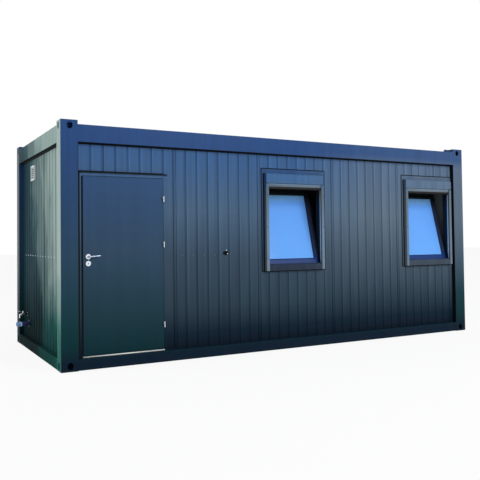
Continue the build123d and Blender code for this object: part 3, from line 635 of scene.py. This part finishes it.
def points_at(x, y, z):
    """Join three coordinates into points; a single number or a short axis repeats to fit the others."""
    return np.stack(np.broadcast_arrays(x, y, z), axis=-1)


def turned(profile, sides):
    """Turn a profile of (radius, height) pairs round the third axis: rows follow it, columns go round."""
    radius, height = np.array(profile, float).T
    angle = np.linspace(0, 2 * np.pi, sides, endpoint=False)
    return points_at(np.outer(radius, np.cos(angle)), np.outer(radius, np.sin(angle)), height[:, None])


def placed(local, origins, axes):
    """Set a local grid down at each origin, with its three axes along the three of axes."""
    return local @ axes + np.array(origins, float)[:, None, None, :]


def bar(profile, start, end, axes):
    """Carry a closed profile, in the first two axes, from start to end; each end closes in a point."""
    flat = np.array(profile, float)
    line = np.concatenate([flat, np.zeros((len(flat), 1))], axis=1) @ axes
    middle = np.broadcast_to(line.mean(axis=0), line.shape)
    start, end = np.array(start, float), np.array(end, float)
    return np.stack([middle + start, line + start, line + end, middle + end])


def dome(radius, height):
    """A low round head: a flat underside, then a quarter of an ellipse from the rim up to the pole."""
    turn = np.linspace(0, np.pi / 2, 4)
    rim = [(0.0, 0.0)] + list(zip(radius * np.cos(turn), height * np.sin(turn)))
    return turned(rim, DOME_SIDES)


print("piece helpers ready")

# %% [markdown]
# A row of screws crosses each end wall at breast height, on the flats between the grooves, and four more with
# painted heads cross the front board beside the door. They could be single objects, but one mesh with a stack
# of low domes is lighter. The grooves repeat at one pitch from each board's seam.

# %% Wall screws
frame_low, frame_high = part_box("bottom_castings")
LEFT, FRONT, RIGHT, BACK = frame_low.x, frame_low.y, frame_high.x, frame_high.y
WALL_INSET = 0.060
left_x, right_x = LEFT + WALL_INSET, RIGHT - WALL_INSET
front_y, back_y = FRONT + WALL_INSET, BACK - WALL_INSET
FLATS = FLAT_PITCH * (np.arange(8) + 0.5)
END_SEAMS = (0.258, 1.408)
SCREW_LEVEL = 1.208
SCREW_SHIFT = 0.022
painted_screw = dome(radius=0.0065, height=0.003)
front_row = points_at(LEFT + FIRST_SEAM + FLATS[:4] + SCREW_SHIFT, front_y, SCREW_LEVEL)
make_piece("wall_screws", [placed(painted_screw, front_row, OUT_FRONT)], shutter_coat, "shutter_metal")
screw = dome(radius=0.0085, height=0.004)
end_steps = np.concatenate([END_SEAMS[0] + FLATS, END_SEAMS[1] + FLATS[:6]])
left_row = points_at(left_x, BACK - end_steps, SCREW_LEVEL)
right_row = left_row * (-1, -1, 1)
make_piece("end_screws", [placed(screw, left_row, OUT_LEFT), placed(screw, right_row, OUT_RIGHT)], *STEEL)

# %% [markdown]
# A black strip covers the underside of the roof beams and turns down over the top edge of the wall boards on
# all four sides: painted shade for the shadow under the beams. A strip is a bar of one profile, carried
# straight from end to end, with the profile's first axis out of the wall and its second one up.

# %% Roof shade strips
post_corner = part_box("front_left_post")[1]
start_x, end_x = post_corner.x, RIGHT - (post_corner.x - LEFT)
start_y, end_y = post_corner.y, BACK - (post_corner.y - FRONT)
wall_low, wall_top = (corner.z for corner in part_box("back_panels"))
ROOF_SHADE_SECTION = [(0.0, 0.0), (0.057, 0.0), (0.057, -0.002), (0.012, -0.003), (0.006, -0.008), (0.004, -0.016),
                (0.0, -0.017)]
roof_runs = [(-Y, X, (start_x, front_y), (end_x, front_y)), (Y, X, (start_x, back_y), (end_x, back_y)),
             (-X, Y, (left_x, start_y), (left_x, end_y)), (X, Y, (right_x, start_y), (right_x, end_y))]
make_piece("roof_shade_strips", [
    bar(ROOF_SHADE_SECTION, (*start, wall_top), (*end, wall_top), (out, Z, along))
    for out, along, start, end in roof_runs], *RUBBER_AND_SHADE, smooth=False)

# %% [markdown]
# Black upright strips at the front posts, on the right post's return and at the lock side of the door frame,
# and one along the drip over the door, are painted shade for the shadow in those joints and gaps. At the left
# post the strip steps forward with the door frame. The two joints between the boards of each end are filled
# with a flat run of the same black.

# %% Post strips and board joints
frame_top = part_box("door_frame")[1].z
jamb_y = front_y - FRAME_PROUD
LEAF_GAP = 0.005
LOCK_STRIP = 0.013
UPRIGHT = (X, -Y, Z)
ALONG_FRONT = (Z, -Y, X)
RETURN_SECTION = [(0.0, 0.0), (0.0, 0.057), (-0.0015, 0.057), (-0.003, 0.052), (-0.003, 0.0)]


def strip_section(width, depth):
    """A flat strip with its outer edge cut off at a slant, as points of (along, out)."""
    return [(0.0, 0.0), (width, 0.0), (width, depth * 0.4), (width * 0.8, depth), (0.0, depth)]


upright_runs = [
    (start_x, front_y, frame_top, wall_top, strip_section(width=0.020, depth=0.010)),
    (start_x, jamb_y, wall_low, frame_top, strip_section(width=0.032, depth=0.004)),
    (leaf_low.x - LEAF_GAP - LOCK_STRIP, jamb_y, wall_low, leaf_high.z, strip_section(LOCK_STRIP, 0.002)),
    (end_x, front_y, wall_low, wall_top, RETURN_SECTION)]
strips = [bar(section, (x, y, low), (x, y, high), UPRIGHT) for x, y, low, high, section in upright_runs]
strips.append(bar(strip_section(width=0.012, depth=0.010), (start_x, front_y, frame_top),
                  (leaf_high.x + LEAF_GAP, front_y, frame_top), ALONG_FRONT))
make_piece("post_shade_strips", strips, *RUBBER_AND_SHADE, smooth=False)

JOINT_SECTION = [(-0.009, 0.0), (0.009, 0.0), (0.007, 0.0016), (-0.007, 0.0016)]
joint_runs = [(x, way * (seam - BACK), (way * Y, way * X, Z))
              for x, way in ((left_x, -1), (right_x, 1)) for seam in END_SEAMS]
joints = [bar(JOINT_SECTION, (x, y, wall_low), (x, y, wall_top), axes) for x, y, axes in joint_runs]
make_piece("board_joints", joints, *RUBBER_AND_SHADE, smooth=False)

# %% [markdown]
# The door closes on a soft rubber seal that lies on the stop of the frame, up one side, over the head and
# down the other. It is a half-round profile carried round three sides: at the two upper corners it is laid
# along the mitre, so that its width stays the same on both arms.

# %% Door seal
HALF_TURN = np.linspace(0, np.pi, 9)
SEAL_INSET = 0.0075
SEAL_HALF = 0.0055
SEAL_RISE = 0.0042


def seal_round_door():
    """A half-round carried up, across and down: each of its points keeps its distance from the opening."""
    inset = SEAL_INSET + SEAL_HALF * np.cos(HALF_TURN)
    depth = leaf_high.y + LEAF_GAP - SEAL_RISE * np.sin(HALF_TURN)
    low_x, high_x, top_z = leaf_low.x - LEAF_GAP, leaf_high.x + LEAF_GAP, leaf_high.z + LEAF_GAP
    arms = [(low_x + inset, leaf_low.z), (low_x + inset, top_z - inset), (high_x - inset, top_z - inset),
            (high_x - inset, leaf_low.z)]
    line = np.stack([points_at(x, depth, z) for x, z in arms])
    ends = np.broadcast_to(line.mean(axis=1, keepdims=True), line.shape)
    return np.concatenate([ends[:1], line, ends[-1:]])


make_piece("door_seal", [seal_round_door()], *RUBBER_AND_SHADE, smooth=False)

# %% [markdown]
# The lock's round rose holds a key cylinder. Its plug fills the upright slot in the rose with a slightly
# domed face, and a thin dark bar stands for the keyway. Both faces of the door have one. The plug's outline
# is a stadium: a circle whose halves are pulled apart upwards and downwards.

# %% Key cylinders
LOCK_BACKSET = 0.056
LOCK_LEVEL = 1.145
ROSE_THICKNESS = 0.008
STADIUM_SIDES = 24
lock_x = leaf_low.x + LOCK_BACKSET
lock_faces = [((lock_x, leaf_low.y - ROSE_THICKNESS, LOCK_LEVEL), OUT_FRONT),
              ((lock_x, leaf_high.y + ROSE_THICKNESS, LOCK_LEVEL), OUT_BACK)]


def stadium_plug(half_width, half_height, depth, rise):
    """A stadium outline drawn in from a wall of some depth to a face that rises a little to its middle."""
    angle = np.linspace(0, 2 * np.pi, STADIUM_SIDES, endpoint=False)
    across = half_width * np.cos(angle)
    upward = half_width * np.sin(angle) + np.sign(np.sin(angle)) * (half_height - half_width)
    shares = np.array([0.0, 1.0, 1.0, 0.8, 0.45, 0.0])
    levels = np.array([-depth, -depth, 0.0, 0.5 * rise, 0.85 * rise, rise])
    return points_at(np.outer(shares, across), np.outer(shares, upward), levels[:, None])


plug = stadium_plug(half_width=0.0043, half_height=0.0083, depth=0.0035, rise=0.0012)
keyway = stadium_plug(half_width=0.0007, half_height=0.0038, depth=0.0010, rise=0.0018)
# The plugs take the tap's chrome, and at the door they lie wholly in its painted shade tone.
make_piece("key_cylinders", [placed(plug, [origin], axes) for origin, axes in lock_faces],
           tap_chrome, "handle_steel", "door")
make_piece("keyways", [placed(keyway, [origin], axes) for origin, axes in lock_faces], *RUBBER_AND_SHADE, "door")

# %% [markdown]
# The rubber buffer that stops the opened door sits on a low black plate, with one screw in its face and one
# on the wall above it. The plate is the same stadium shape, laid on its side.

# %% Buffer plate
buffer_low, buffer_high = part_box("door_buffer")
buffer_x, buffer_z = (buffer_low.x + buffer_high.x) / 2, (buffer_low.z + buffer_high.z) / 2
ON_ITS_SIDE = (Z, X, -Y)
PLATE_ASIDE = 0.005
PLATE_LIFT = 0.002
FACE_SCREW_DROP = 0.008
WALL_SCREW_ASIDE = 0.004
WALL_SCREW_RISE = 0.033
plate = stadium_plug(half_width=0.021, half_height=0.041, depth=PLATE_LIFT, rise=0.003)
plate_place = (buffer_x - PLATE_ASIDE, front_y - PLATE_LIFT, buffer_z)
make_piece("buffer_plate", [placed(plate, [plate_place], ON_ITS_SIDE)], *RUBBER_AND_SHADE, smooth=False)
buffer_screw = dome(radius=0.0065, height=0.002)
screw_places = [(buffer_x, buffer_low.y, buffer_z - FACE_SCREW_DROP),
                (buffer_x + WALL_SCREW_ASIDE, front_y, buffer_z + WALL_SCREW_RISE)]
make_piece("buffer_screws", [placed(buffer_screw, screw_places, OUT_FRONT)], *STEEL)

# %% [markdown]
# The front holes of the right-hand castings show no light. Black plugs, set a little way into the castings'
# holes on that end, are painted shade for that darkness; a plug is the stadium shape again.

# %% Hole plugs
PLUG_INSET = 0.0895
PLUG_LEVEL = 0.059
PLUG_SUNK = 0.006
hole_plug = stadium_plug(half_width=0.0250, half_height=0.0392, depth=0.012, rise=0.002)
hole_places = [(RIGHT - PLUG_SUNK, y, z) for y in (FRONT + PLUG_INSET, BACK - PLUG_INSET)
               for z in (PLUG_LEVEL, CABIN_HEIGHT - PLUG_LEVEL)]
make_piece("hole_shade_plugs", [placed(hole_plug, hole_places, OUT_RIGHT)], *RUBBER_AND_SHADE, smooth=False)

# %% [markdown]
# Each barrel hinge ends in a small domed cap, above on the leaf's half and below on the frame's half,
# so the two sets ride on different bodies.

# %% Hinge caps
CAP_RADIUS = 0.00784
HINGE_SHARES = np.array((0.144, 0.612, 0.879))
HINGE_HALF = 0.033
hinge_places = points_at(pin_x, pin_y, leaf_low.z + HINGE_SHARES * (leaf_high.z - leaf_low.z))
cap = dome(CAP_RADIUS, height=0.0045)
make_piece("hinge_caps_upper", [placed(cap, hinge_places + HINGE_HALF * Z, OUT_TOP)], *RUBBER_AND_SHADE, "door")
make_piece("hinge_caps_lower", [placed(cap, hinge_places - HINGE_HALF * Z, OUT_BOTTOM)], *RUBBER_AND_SHADE)

# %% [markdown]
# The threshold strip has a rounded nose along its outer edge and three low ribs on the inner part. All are
# straight bars of a small half-round profile, carried from jamb to jamb.

# %% Threshold nose and ribs
sill_low, sill_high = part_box("door_threshold")
RIB_STEPS = np.array((0.006, 0.014, 0.022))
RIB_INSET = 0.002
NOSE_INSET = 0.001


def half_round(radius, height):
    """A half ellipse over a flat base, as points of (across, up)."""
    return np.stack([radius * np.cos(HALF_TURN), height * np.sin(HALF_TURN)], -1)


rib, nose = half_round(radius=0.003, height=0.0015), half_round(radius=0.005, height=0.0025)
rib_start, rib_end = sill_low.x + RIB_INSET, sill_high.x - RIB_INSET
rib_rows = [bar(rib, (rib_start, y, sill_high.z), (rib_end, y, sill_high.z), OUT_RIGHT)
            for y in sill_high.y - RIB_STEPS]
nose_level = (sill_low.z + sill_high.z) / 2
nose_row = bar(nose, (sill_low.x + NOSE_INSET, sill_low.y, nose_level),
               (sill_high.x - NOSE_INSET, sill_low.y, nose_level), ALONG_FRONT)
make_piece("threshold_ribs", rib_rows + [nose_row], threshold_metal, "threshold_metal")

# %% [markdown]
# Both windows are alike, so a gasket is worked out once and set down twice. The sash stands on its lower edge
# and leans into the room: a point on it is reached by going along that edge, up the leaning face and out of
# it. Rubber gaskets ring the pane on both faces; a closed profile is carried round the rectangle and laid
# along the mitre at each corner.

# %% Pane gaskets
surround_low, surround_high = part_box("window_surrounds")
sash_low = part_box("window_sashes")[0]
SURROUND_BORDER = 0.038
HOLE_WIDTH = 0.896
SASH_SIDE_GAP = 0.031
SASH_RAIL = 0.062
SASH_THICKNESS = 0.060
SASH_HEIGHT = 0.997
SASH_LEAN = math.radians(14.0)
lean_in, lean_up = math.sin(SASH_LEAN), math.cos(SASH_LEAN)
SASH_AXES = (X, lean_in * Y + lean_up * Z, lean_in * Z - lean_up * Y)
hole_starts = np.array((surround_low.x + SURROUND_BORDER, surround_high.x - SURROUND_BORDER - HOLE_WIDTH))
sash_width = HOLE_WIDTH - 2 * SASH_SIDE_GAP
sash_pivots = points_at(hole_starts + SASH_SIDE_GAP, sash_low.y + SASH_THICKNESS * lean_up, sash_low.z)


def rectangle_ring(low, high, profile):
    """Carry a profile of (inset, level) pairs round a rectangle: four rows, one at each mitred corner."""
    inset, level = np.array(profile, float).T
    sides = [(low[0] + inset, low[1] + inset), (high[0] - inset, low[1] + inset),
             (high[0] - inset, high[1] - inset), (low[0] + inset, high[1] - inset)]
    return np.stack([points_at(across, upward, level) for across, upward in sides])


outer_gasket = [(0.0, 0.0420), (0.0, 0.0462), (0.004, 0.0462), (0.0075, 0.0438), (0.0075, 0.0420)]
inner_gasket = [(inset, SASH_THICKNESS - level) for inset, level in outer_gasket]
pane_low, pane_high = (SASH_RAIL, SASH_RAIL), (sash_width - SASH_RAIL, SASH_HEIGHT - SASH_RAIL)
gaskets = [rectangle_ring(pane_low, pane_high, profile) for profile in (outer_gasket, inner_gasket)]
make_piece("pane_gaskets", [placed(gasket, sash_pivots, SASH_AXES) for gasket in gaskets], *RUBBER_AND_SHADE,
           close_rows=True, smooth=False)

# %% [markdown]
# Two flat stay arms hold each tilted sash: they run from the head of the fixed frame to the sash's top edge.
# An arm is a straight bar with a flat rounded section, and a low rivet head sits on its inner end.

# %% Sash stays
box_low, box_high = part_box("shutter_boxes")
HEAD_DEPTH = 0.029
STAY_SHARES = (0.2, 0.8)
STAY_LIFT = 0.0026
STAY_DROP = 0.003
STAY_DEPTH = 0.105
STAY_AXES = (X, Z, Y)
STAY_SECTION = [(-0.008, -0.0012), (0.008, -0.0012), (0.009, 0.0), (0.008, 0.0012), (-0.008, 0.0012),
                (-0.009, 0.0)]
RIVET_STEP = (0.0, -0.012, 0.0012)
sash_top = SASH_AXES[1] * SASH_HEIGHT + SASH_AXES[2] * SASH_THICKNESS * 0.5
stay_ends = np.array([pivot + sash_top + (sash_width * share, 0.0, STAY_LIFT)
                      for pivot in sash_pivots for share in STAY_SHARES])
stay_starts = points_at(stay_ends[:, 0], FRONT + STAY_DEPTH, box_low.z - HEAD_DEPTH - STAY_DROP)
stays = [bar(STAY_SECTION, start, end, STAY_AXES) for start, end in zip(stay_starts, stay_ends)]
rivets = placed(dome(radius=0.006, height=0.003), stay_ends + RIVET_STEP, OUT_TOP)
make_piece("sash_stays", stays + [rivets], *STEEL)

# %% [markdown]
# Black runs round each window unit are painted shade for the shadow lines there: a bead rings the flange of
# the surround on the wall, and a strip runs up the flange beside each shutter guide, from the lower edge to
# the top of the box.

# %% Window shade strips
BEAD = 0.013
BEAD_RISE = 0.0042
SIDE_STRIP = 0.022
FLANGE = 0.005
bead_profile = [(0.0, 0.0), (0.001, 0.0015), (BEAD - 0.003, BEAD_RISE), (BEAD, BEAD_RISE), (BEAD, 0.0)]
border = SURROUND_BORDER + BEAD
beads = [rectangle_ring((start - border, surround_low.z - BEAD),
                        (start + HOLE_WIDTH + border, surround_high.z + BEAD), bead_profile)
         for start in hole_starts]
make_piece("surround_shade_beads", [placed(bead, [(0, front_y, 0)], OUT_FRONT) for bead in beads], *RUBBER_AND_SHADE,
           close_rows=True, smooth=False)
side_strip = strip_section(SIDE_STRIP, depth=0.002)
strip_y = front_y - FLANGE
strip_edges = [edge for start in hole_starts for edge in (start - SIDE_STRIP, start + HOLE_WIDTH)]
make_piece("guide_shade_strips", [
    bar(side_strip, (edge, strip_y, surround_low.z), (edge, strip_y, box_high.z), UPRIGHT)
    for edge in strip_edges], *RUBBER_AND_SHADE, smooth=False)

# %% [markdown]
# The roller shutters are drawn up, so only the end bar shows under each box. It has a rubber lip below and
# two rolled ribs along its face. The box has a slightly larger plate at each end.

# %% End bars and box plates
bar_low, bar_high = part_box("shutter_bars")
BAR_INSET = 0.028
ROLL_INSET = 0.014
ROLL_LEVELS = (0.036, 0.048)
UNDERNEATH = (-Y, -Z, X)
bar_y = (bar_low.y + bar_high.y) / 2
bar_runs = [(start + BAR_INSET, start + HOLE_WIDTH - BAR_INSET) for start in hole_starts]
lip, roll = half_round(radius=0.005, height=0.007), half_round(radius=0.004, height=0.0016)
lips = [bar(lip, (first, bar_y, bar_low.z), (last, bar_y, bar_low.z), UNDERNEATH) for first, last in bar_runs]
rolls = [bar(roll, (first + ROLL_INSET, bar_low.y, level), (last - ROLL_INSET, bar_low.y, level), ALONG_FRONT)
         for first, last in bar_runs for level in (bar_low.z + rise for rise in ROLL_LEVELS)]
make_piece("shutter_lips", lips, *RUBBER_AND_SHADE)
make_piece("shutter_rolls", rolls, shutter_coat, "shutter_metal")

BOX_EDGE = 0.014
PLATE_OVER = 0.0015
PLATE_THICKNESS = 0.006
PLATE_GAP = 0.0005
plate_front, plate_under = box_low.y - PLATE_OVER, box_low.z - PLATE_OVER
plate_outline = [
    (plate_front, box_low.z + BOX_EDGE), (box_low.y + BOX_EDGE, plate_under), (box_high.y, plate_under),
    (box_high.y, box_high.z), (box_low.y + BOX_EDGE, box_high.z + PLATE_OVER),
    (plate_front, box_high.z - BOX_EDGE)]
last_edge = HOLE_WIDTH - PLATE_GAP - PLATE_THICKNESS
plate_edges = [start + step for start in hole_starts for step in (PLATE_GAP, last_edge)]
plates = [bar(plate_outline, (edge, 0, 0), (edge + PLATE_THICKNESS, 0, 0), OUT_RIGHT) for edge in plate_edges]
make_piece("box_end_plates", plates, trim_coat, "window_trim", smooth=False)

# %% [markdown]
# The guides of the shutters are held by three dark plugs each. A pale strip along the inner lip of each guide
# is a painted highlight for that lip's lit edge, where the curtain would run.

# %% Guide lip highlights and plugs
guide_low, guide_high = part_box("shutter_guides")
GUIDE_WIDTH = 0.040
LIP_HIGHLIGHT_SETBACK = 0.0085
LIP_HIGHLIGHT_START = 1.085
LIP_HIGHLIGHT_SECTION = [(0.0, -0.0078), (0.0015, -0.0078), (0.0026, -0.006), (0.0026, 0.006), (0.0015, 0.0078),
                 (0.0, 0.0078)]
PLUG_LEVELS = (1.145, 1.545, 1.945)
PLUG_SHARE = 0.4
lip_highlight_y = guide_high.y - LIP_HIGHLIGHT_SETBACK
lip_highlight_sides = [(start + step, way) for step, way in ((GUIDE_WIDTH, 1), (HOLE_WIDTH - GUIDE_WIDTH, -1))
               for start in hole_starts]
make_piece("guide_lip_highlights", [
    bar(LIP_HIGHLIGHT_SECTION, (x, lip_highlight_y, LIP_HIGHLIGHT_START), (x, lip_highlight_y, bar_low.z), (way * X, Y, Z))
    for x, way in lip_highlight_sides], *STEEL, smooth=False)
plug_step = GUIDE_WIDTH * PLUG_SHARE
plug_places = [(start + step, guide_low.y, level) for start in hole_starts
               for step in (plug_step, HOLE_WIDTH - plug_step) for level in PLUG_LEVELS]
make_piece("guide_plugs", [placed(dome(radius=0.006, height=0.002), plug_places, OUT_FRONT)], *RUBBER_AND_SHADE)

# %% [markdown]
# On the left end wall the vent is held by four screws, the drain stub wears a steel hose clip, which is a
# turned band, and the tap's lever has a soft grip.

# %% Fittings of the end wall
vent_low, vent_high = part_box("vent_grille")
VENT_INSET = 0.008
vent_corners = [(vent_low.x, y, z) for y in (vent_low.y + VENT_INSET, vent_high.y - VENT_INSET)
                for z in (vent_low.z + VENT_INSET, vent_high.z - VENT_INSET)]
make_piece("vent_screws", [placed(dome(radius=0.004, height=0.002), vent_corners, OUT_LEFT)], *STEEL)

drain_low, drain_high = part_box("drain_pipe")
DRAIN_RADIUS = 0.029
CLIP_PLACE = 0.062
CLIP_SIDES = 32
BAND, BEADED = DRAIN_RADIUS + 0.0012, DRAIN_RADIUS + 0.0018
clip_profile = [(DRAIN_RADIUS, 0.0), (BAND, 0.0), (BEADED, 0.002), (BAND, 0.004), (BAND, 0.007),
                (BEADED, 0.009), (BAND, 0.011), (DRAIN_RADIUS, 0.011)]
clip_place = (drain_low.x + CLIP_PLACE, (drain_low.y + drain_high.y) / 2, (drain_low.z + drain_high.z) / 2)
make_piece("drain_clip", [placed(turned(clip_profile, CLIP_SIDES), [clip_place], OUT_LEFT)], *STEEL,
           close_rows=True)

key_low, key_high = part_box("tap_handle")
GRIP_START = 0.045
GRIP_LENGTH = 0.047
GRIP_HALF_WIDTH = 0.0095
GRIP_HALF_HEIGHT = 0.0048
GRIP_DROP = 0.0025


def lever_grip():
    """A superellipse of power four that swells and closes along the lever as the root of a sine does."""
    along = np.linspace(0, 1, 15)
    angle = np.linspace(0, 2 * np.pi, 20, endpoint=False)
    swell = np.sqrt(np.clip(np.sin(np.pi * along), 0, 1)) * (0.9 + 0.1 * along)
    across = np.sign(np.cos(angle)) * np.abs(np.cos(angle)) ** 0.5
    upward = np.sign(np.sin(angle)) * np.abs(np.sin(angle)) ** 0.5
    x = key_low.x + GRIP_START - GRIP_LENGTH * along
    y = (key_low.y + key_high.y) / 2 + GRIP_HALF_WIDTH * np.outer(swell, across)
    z = key_high.z - GRIP_DROP + GRIP_HALF_HEIGHT * np.outer(swell, upward)
    return points_at(x[:, None], y, z)


make_piece("tap_grip", [lever_grip()], vent_white, "vent_white", "tap_key")

# %% [markdown]
# The roof sheet is screwed to the upper flanges of the long beams at even steps. The heads are low domes in
# zinc, and they only show from above.

# %% Roof screws
beam_low, beam_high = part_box("roof_beam_back")
ROOF_SCREWS = 18
ROOF_MARGIN = 0.15
FLANGE_INSET = 0.045
roof_screw = dome(radius=0.008, height=0.004)
roof_x = np.linspace(beam_low.x + ROOF_MARGIN, beam_high.x - ROOF_MARGIN, ROOF_SCREWS)
roof_rows = [points_at(roof_x, y, beam_high.z) for y in (FRONT + FLANGE_INSET, BACK - FLANGE_INSET)]
make_piece("roof_screws", [placed(roof_screw, row, OUT_TOP) for row in roof_rows], zinc, "galvanised")

# %% [markdown]
# The stage is a pale floor and soft light: a broad lamp high at the front right, weaker ones at the left and
# a white world. The world and the floor show white to the camera and in reflections, while the light that
# falls on the cabin stays at a plain level.

# %% Floor, world and lamps
FLOOR_HALF = 60.0
FLOOR_GREY = 0.8
FLOOR_ROUGH = 0.9
FLOOR_WHITE = 0.9
SKY_TONE = (0.94, 0.97, 1.0, 1.0)
SKY_STRENGTH = 0.45


def white_when_seen(net, lit, share):
    """Mix a lit shader with white emission for rays that come from the camera, or from gloss and glass."""
    path = node(net, "ShaderNodeLightPath")
    mirror = larger(net, path.outputs["Is Glossy Ray"], path.outputs["Is Transmission Ray"])
    seen = times(net, larger(net, path.outputs["Is Camera Ray"], mirror), share)
    glow = node(net, "ShaderNodeEmission", Strength=1.0)
    shaders = {0: seen, 1: lit, 2: glow.outputs["Emission"]}
    return node(net, "ShaderNodeMixShader", shaders).outputs["Shader"]


floor_material, floor_net, floor_shader = new_material("pale_floor")
fill(floor_net, floor_shader, grey(FLOOR_GREY), FLOOR_ROUGH)
floor_seen = white_when_seen(floor_net, floor_shader.outputs["BSDF"], FLOOR_WHITE)
floor_net.links.new(floor_seen, floor_net.nodes["Material Output"].inputs["Surface"])
floor_mesh = bpy.data.meshes.new("studio_floor")
floor_corners = [(sx * FLOOR_HALF, sy * FLOOR_HALF, 0.0) for sx, sy in ((-1, -1), (1, -1), (1, 1), (-1, 1))]
floor_mesh.from_pydata(floor_corners, [], [(0, 1, 2, 3)])
floor_mesh.materials.append(floor_material)
studio_floor = bpy.data.objects.new("studio_floor", floor_mesh)
scene.collection.objects.link(studio_floor)

world = bpy.data.worlds.new("studio_world")
scene.world = world
world.use_nodes = True
world_net = world.node_tree
soft_sky = world_net.nodes["Background"]
soft_sky.inputs["Color"].default_value = SKY_TONE
soft_sky.inputs["Strength"].default_value = SKY_STRENGTH
world_seen = white_when_seen(world_net, soft_sky.outputs["Background"], 1.0)
world_net.links.new(world_seen, world_net.nodes["World Output"].inputs["Surface"])


def soft_lamp(name, place, aim, size, power):
    """Hang a square area lamp at a place and turn it to its aim."""
    lamp = bpy.data.lights.new(name, "AREA")
    lamp.size = size
    lamp.energy = power
    hung = bpy.data.objects.new(name, lamp)
    hung.location = place
    hung.rotation_euler = (Vector(aim) - Vector(place)).to_track_quat("-Z", "Y").to_euler()
    scene.collection.objects.link(hung)


soft_lamp("key_lamp", place=(4.5, -13.0, 8.0), aim=(0.5, 0.0, 1.2), size=7.0, power=1300.0)
soft_lamp("fill_lamp", place=(-5.0, -12.0, 5.0), aim=(-1.5, 0.0, 1.2), size=6.0, power=90.0)
soft_lamp("end_lamp", place=(-12.0, 2.0, 4.0), aim=(-3.0, 0.0, 1.2), size=5.0, power=420.0)
scene.view_settings.view_transform = "Standard"
print("stage set")
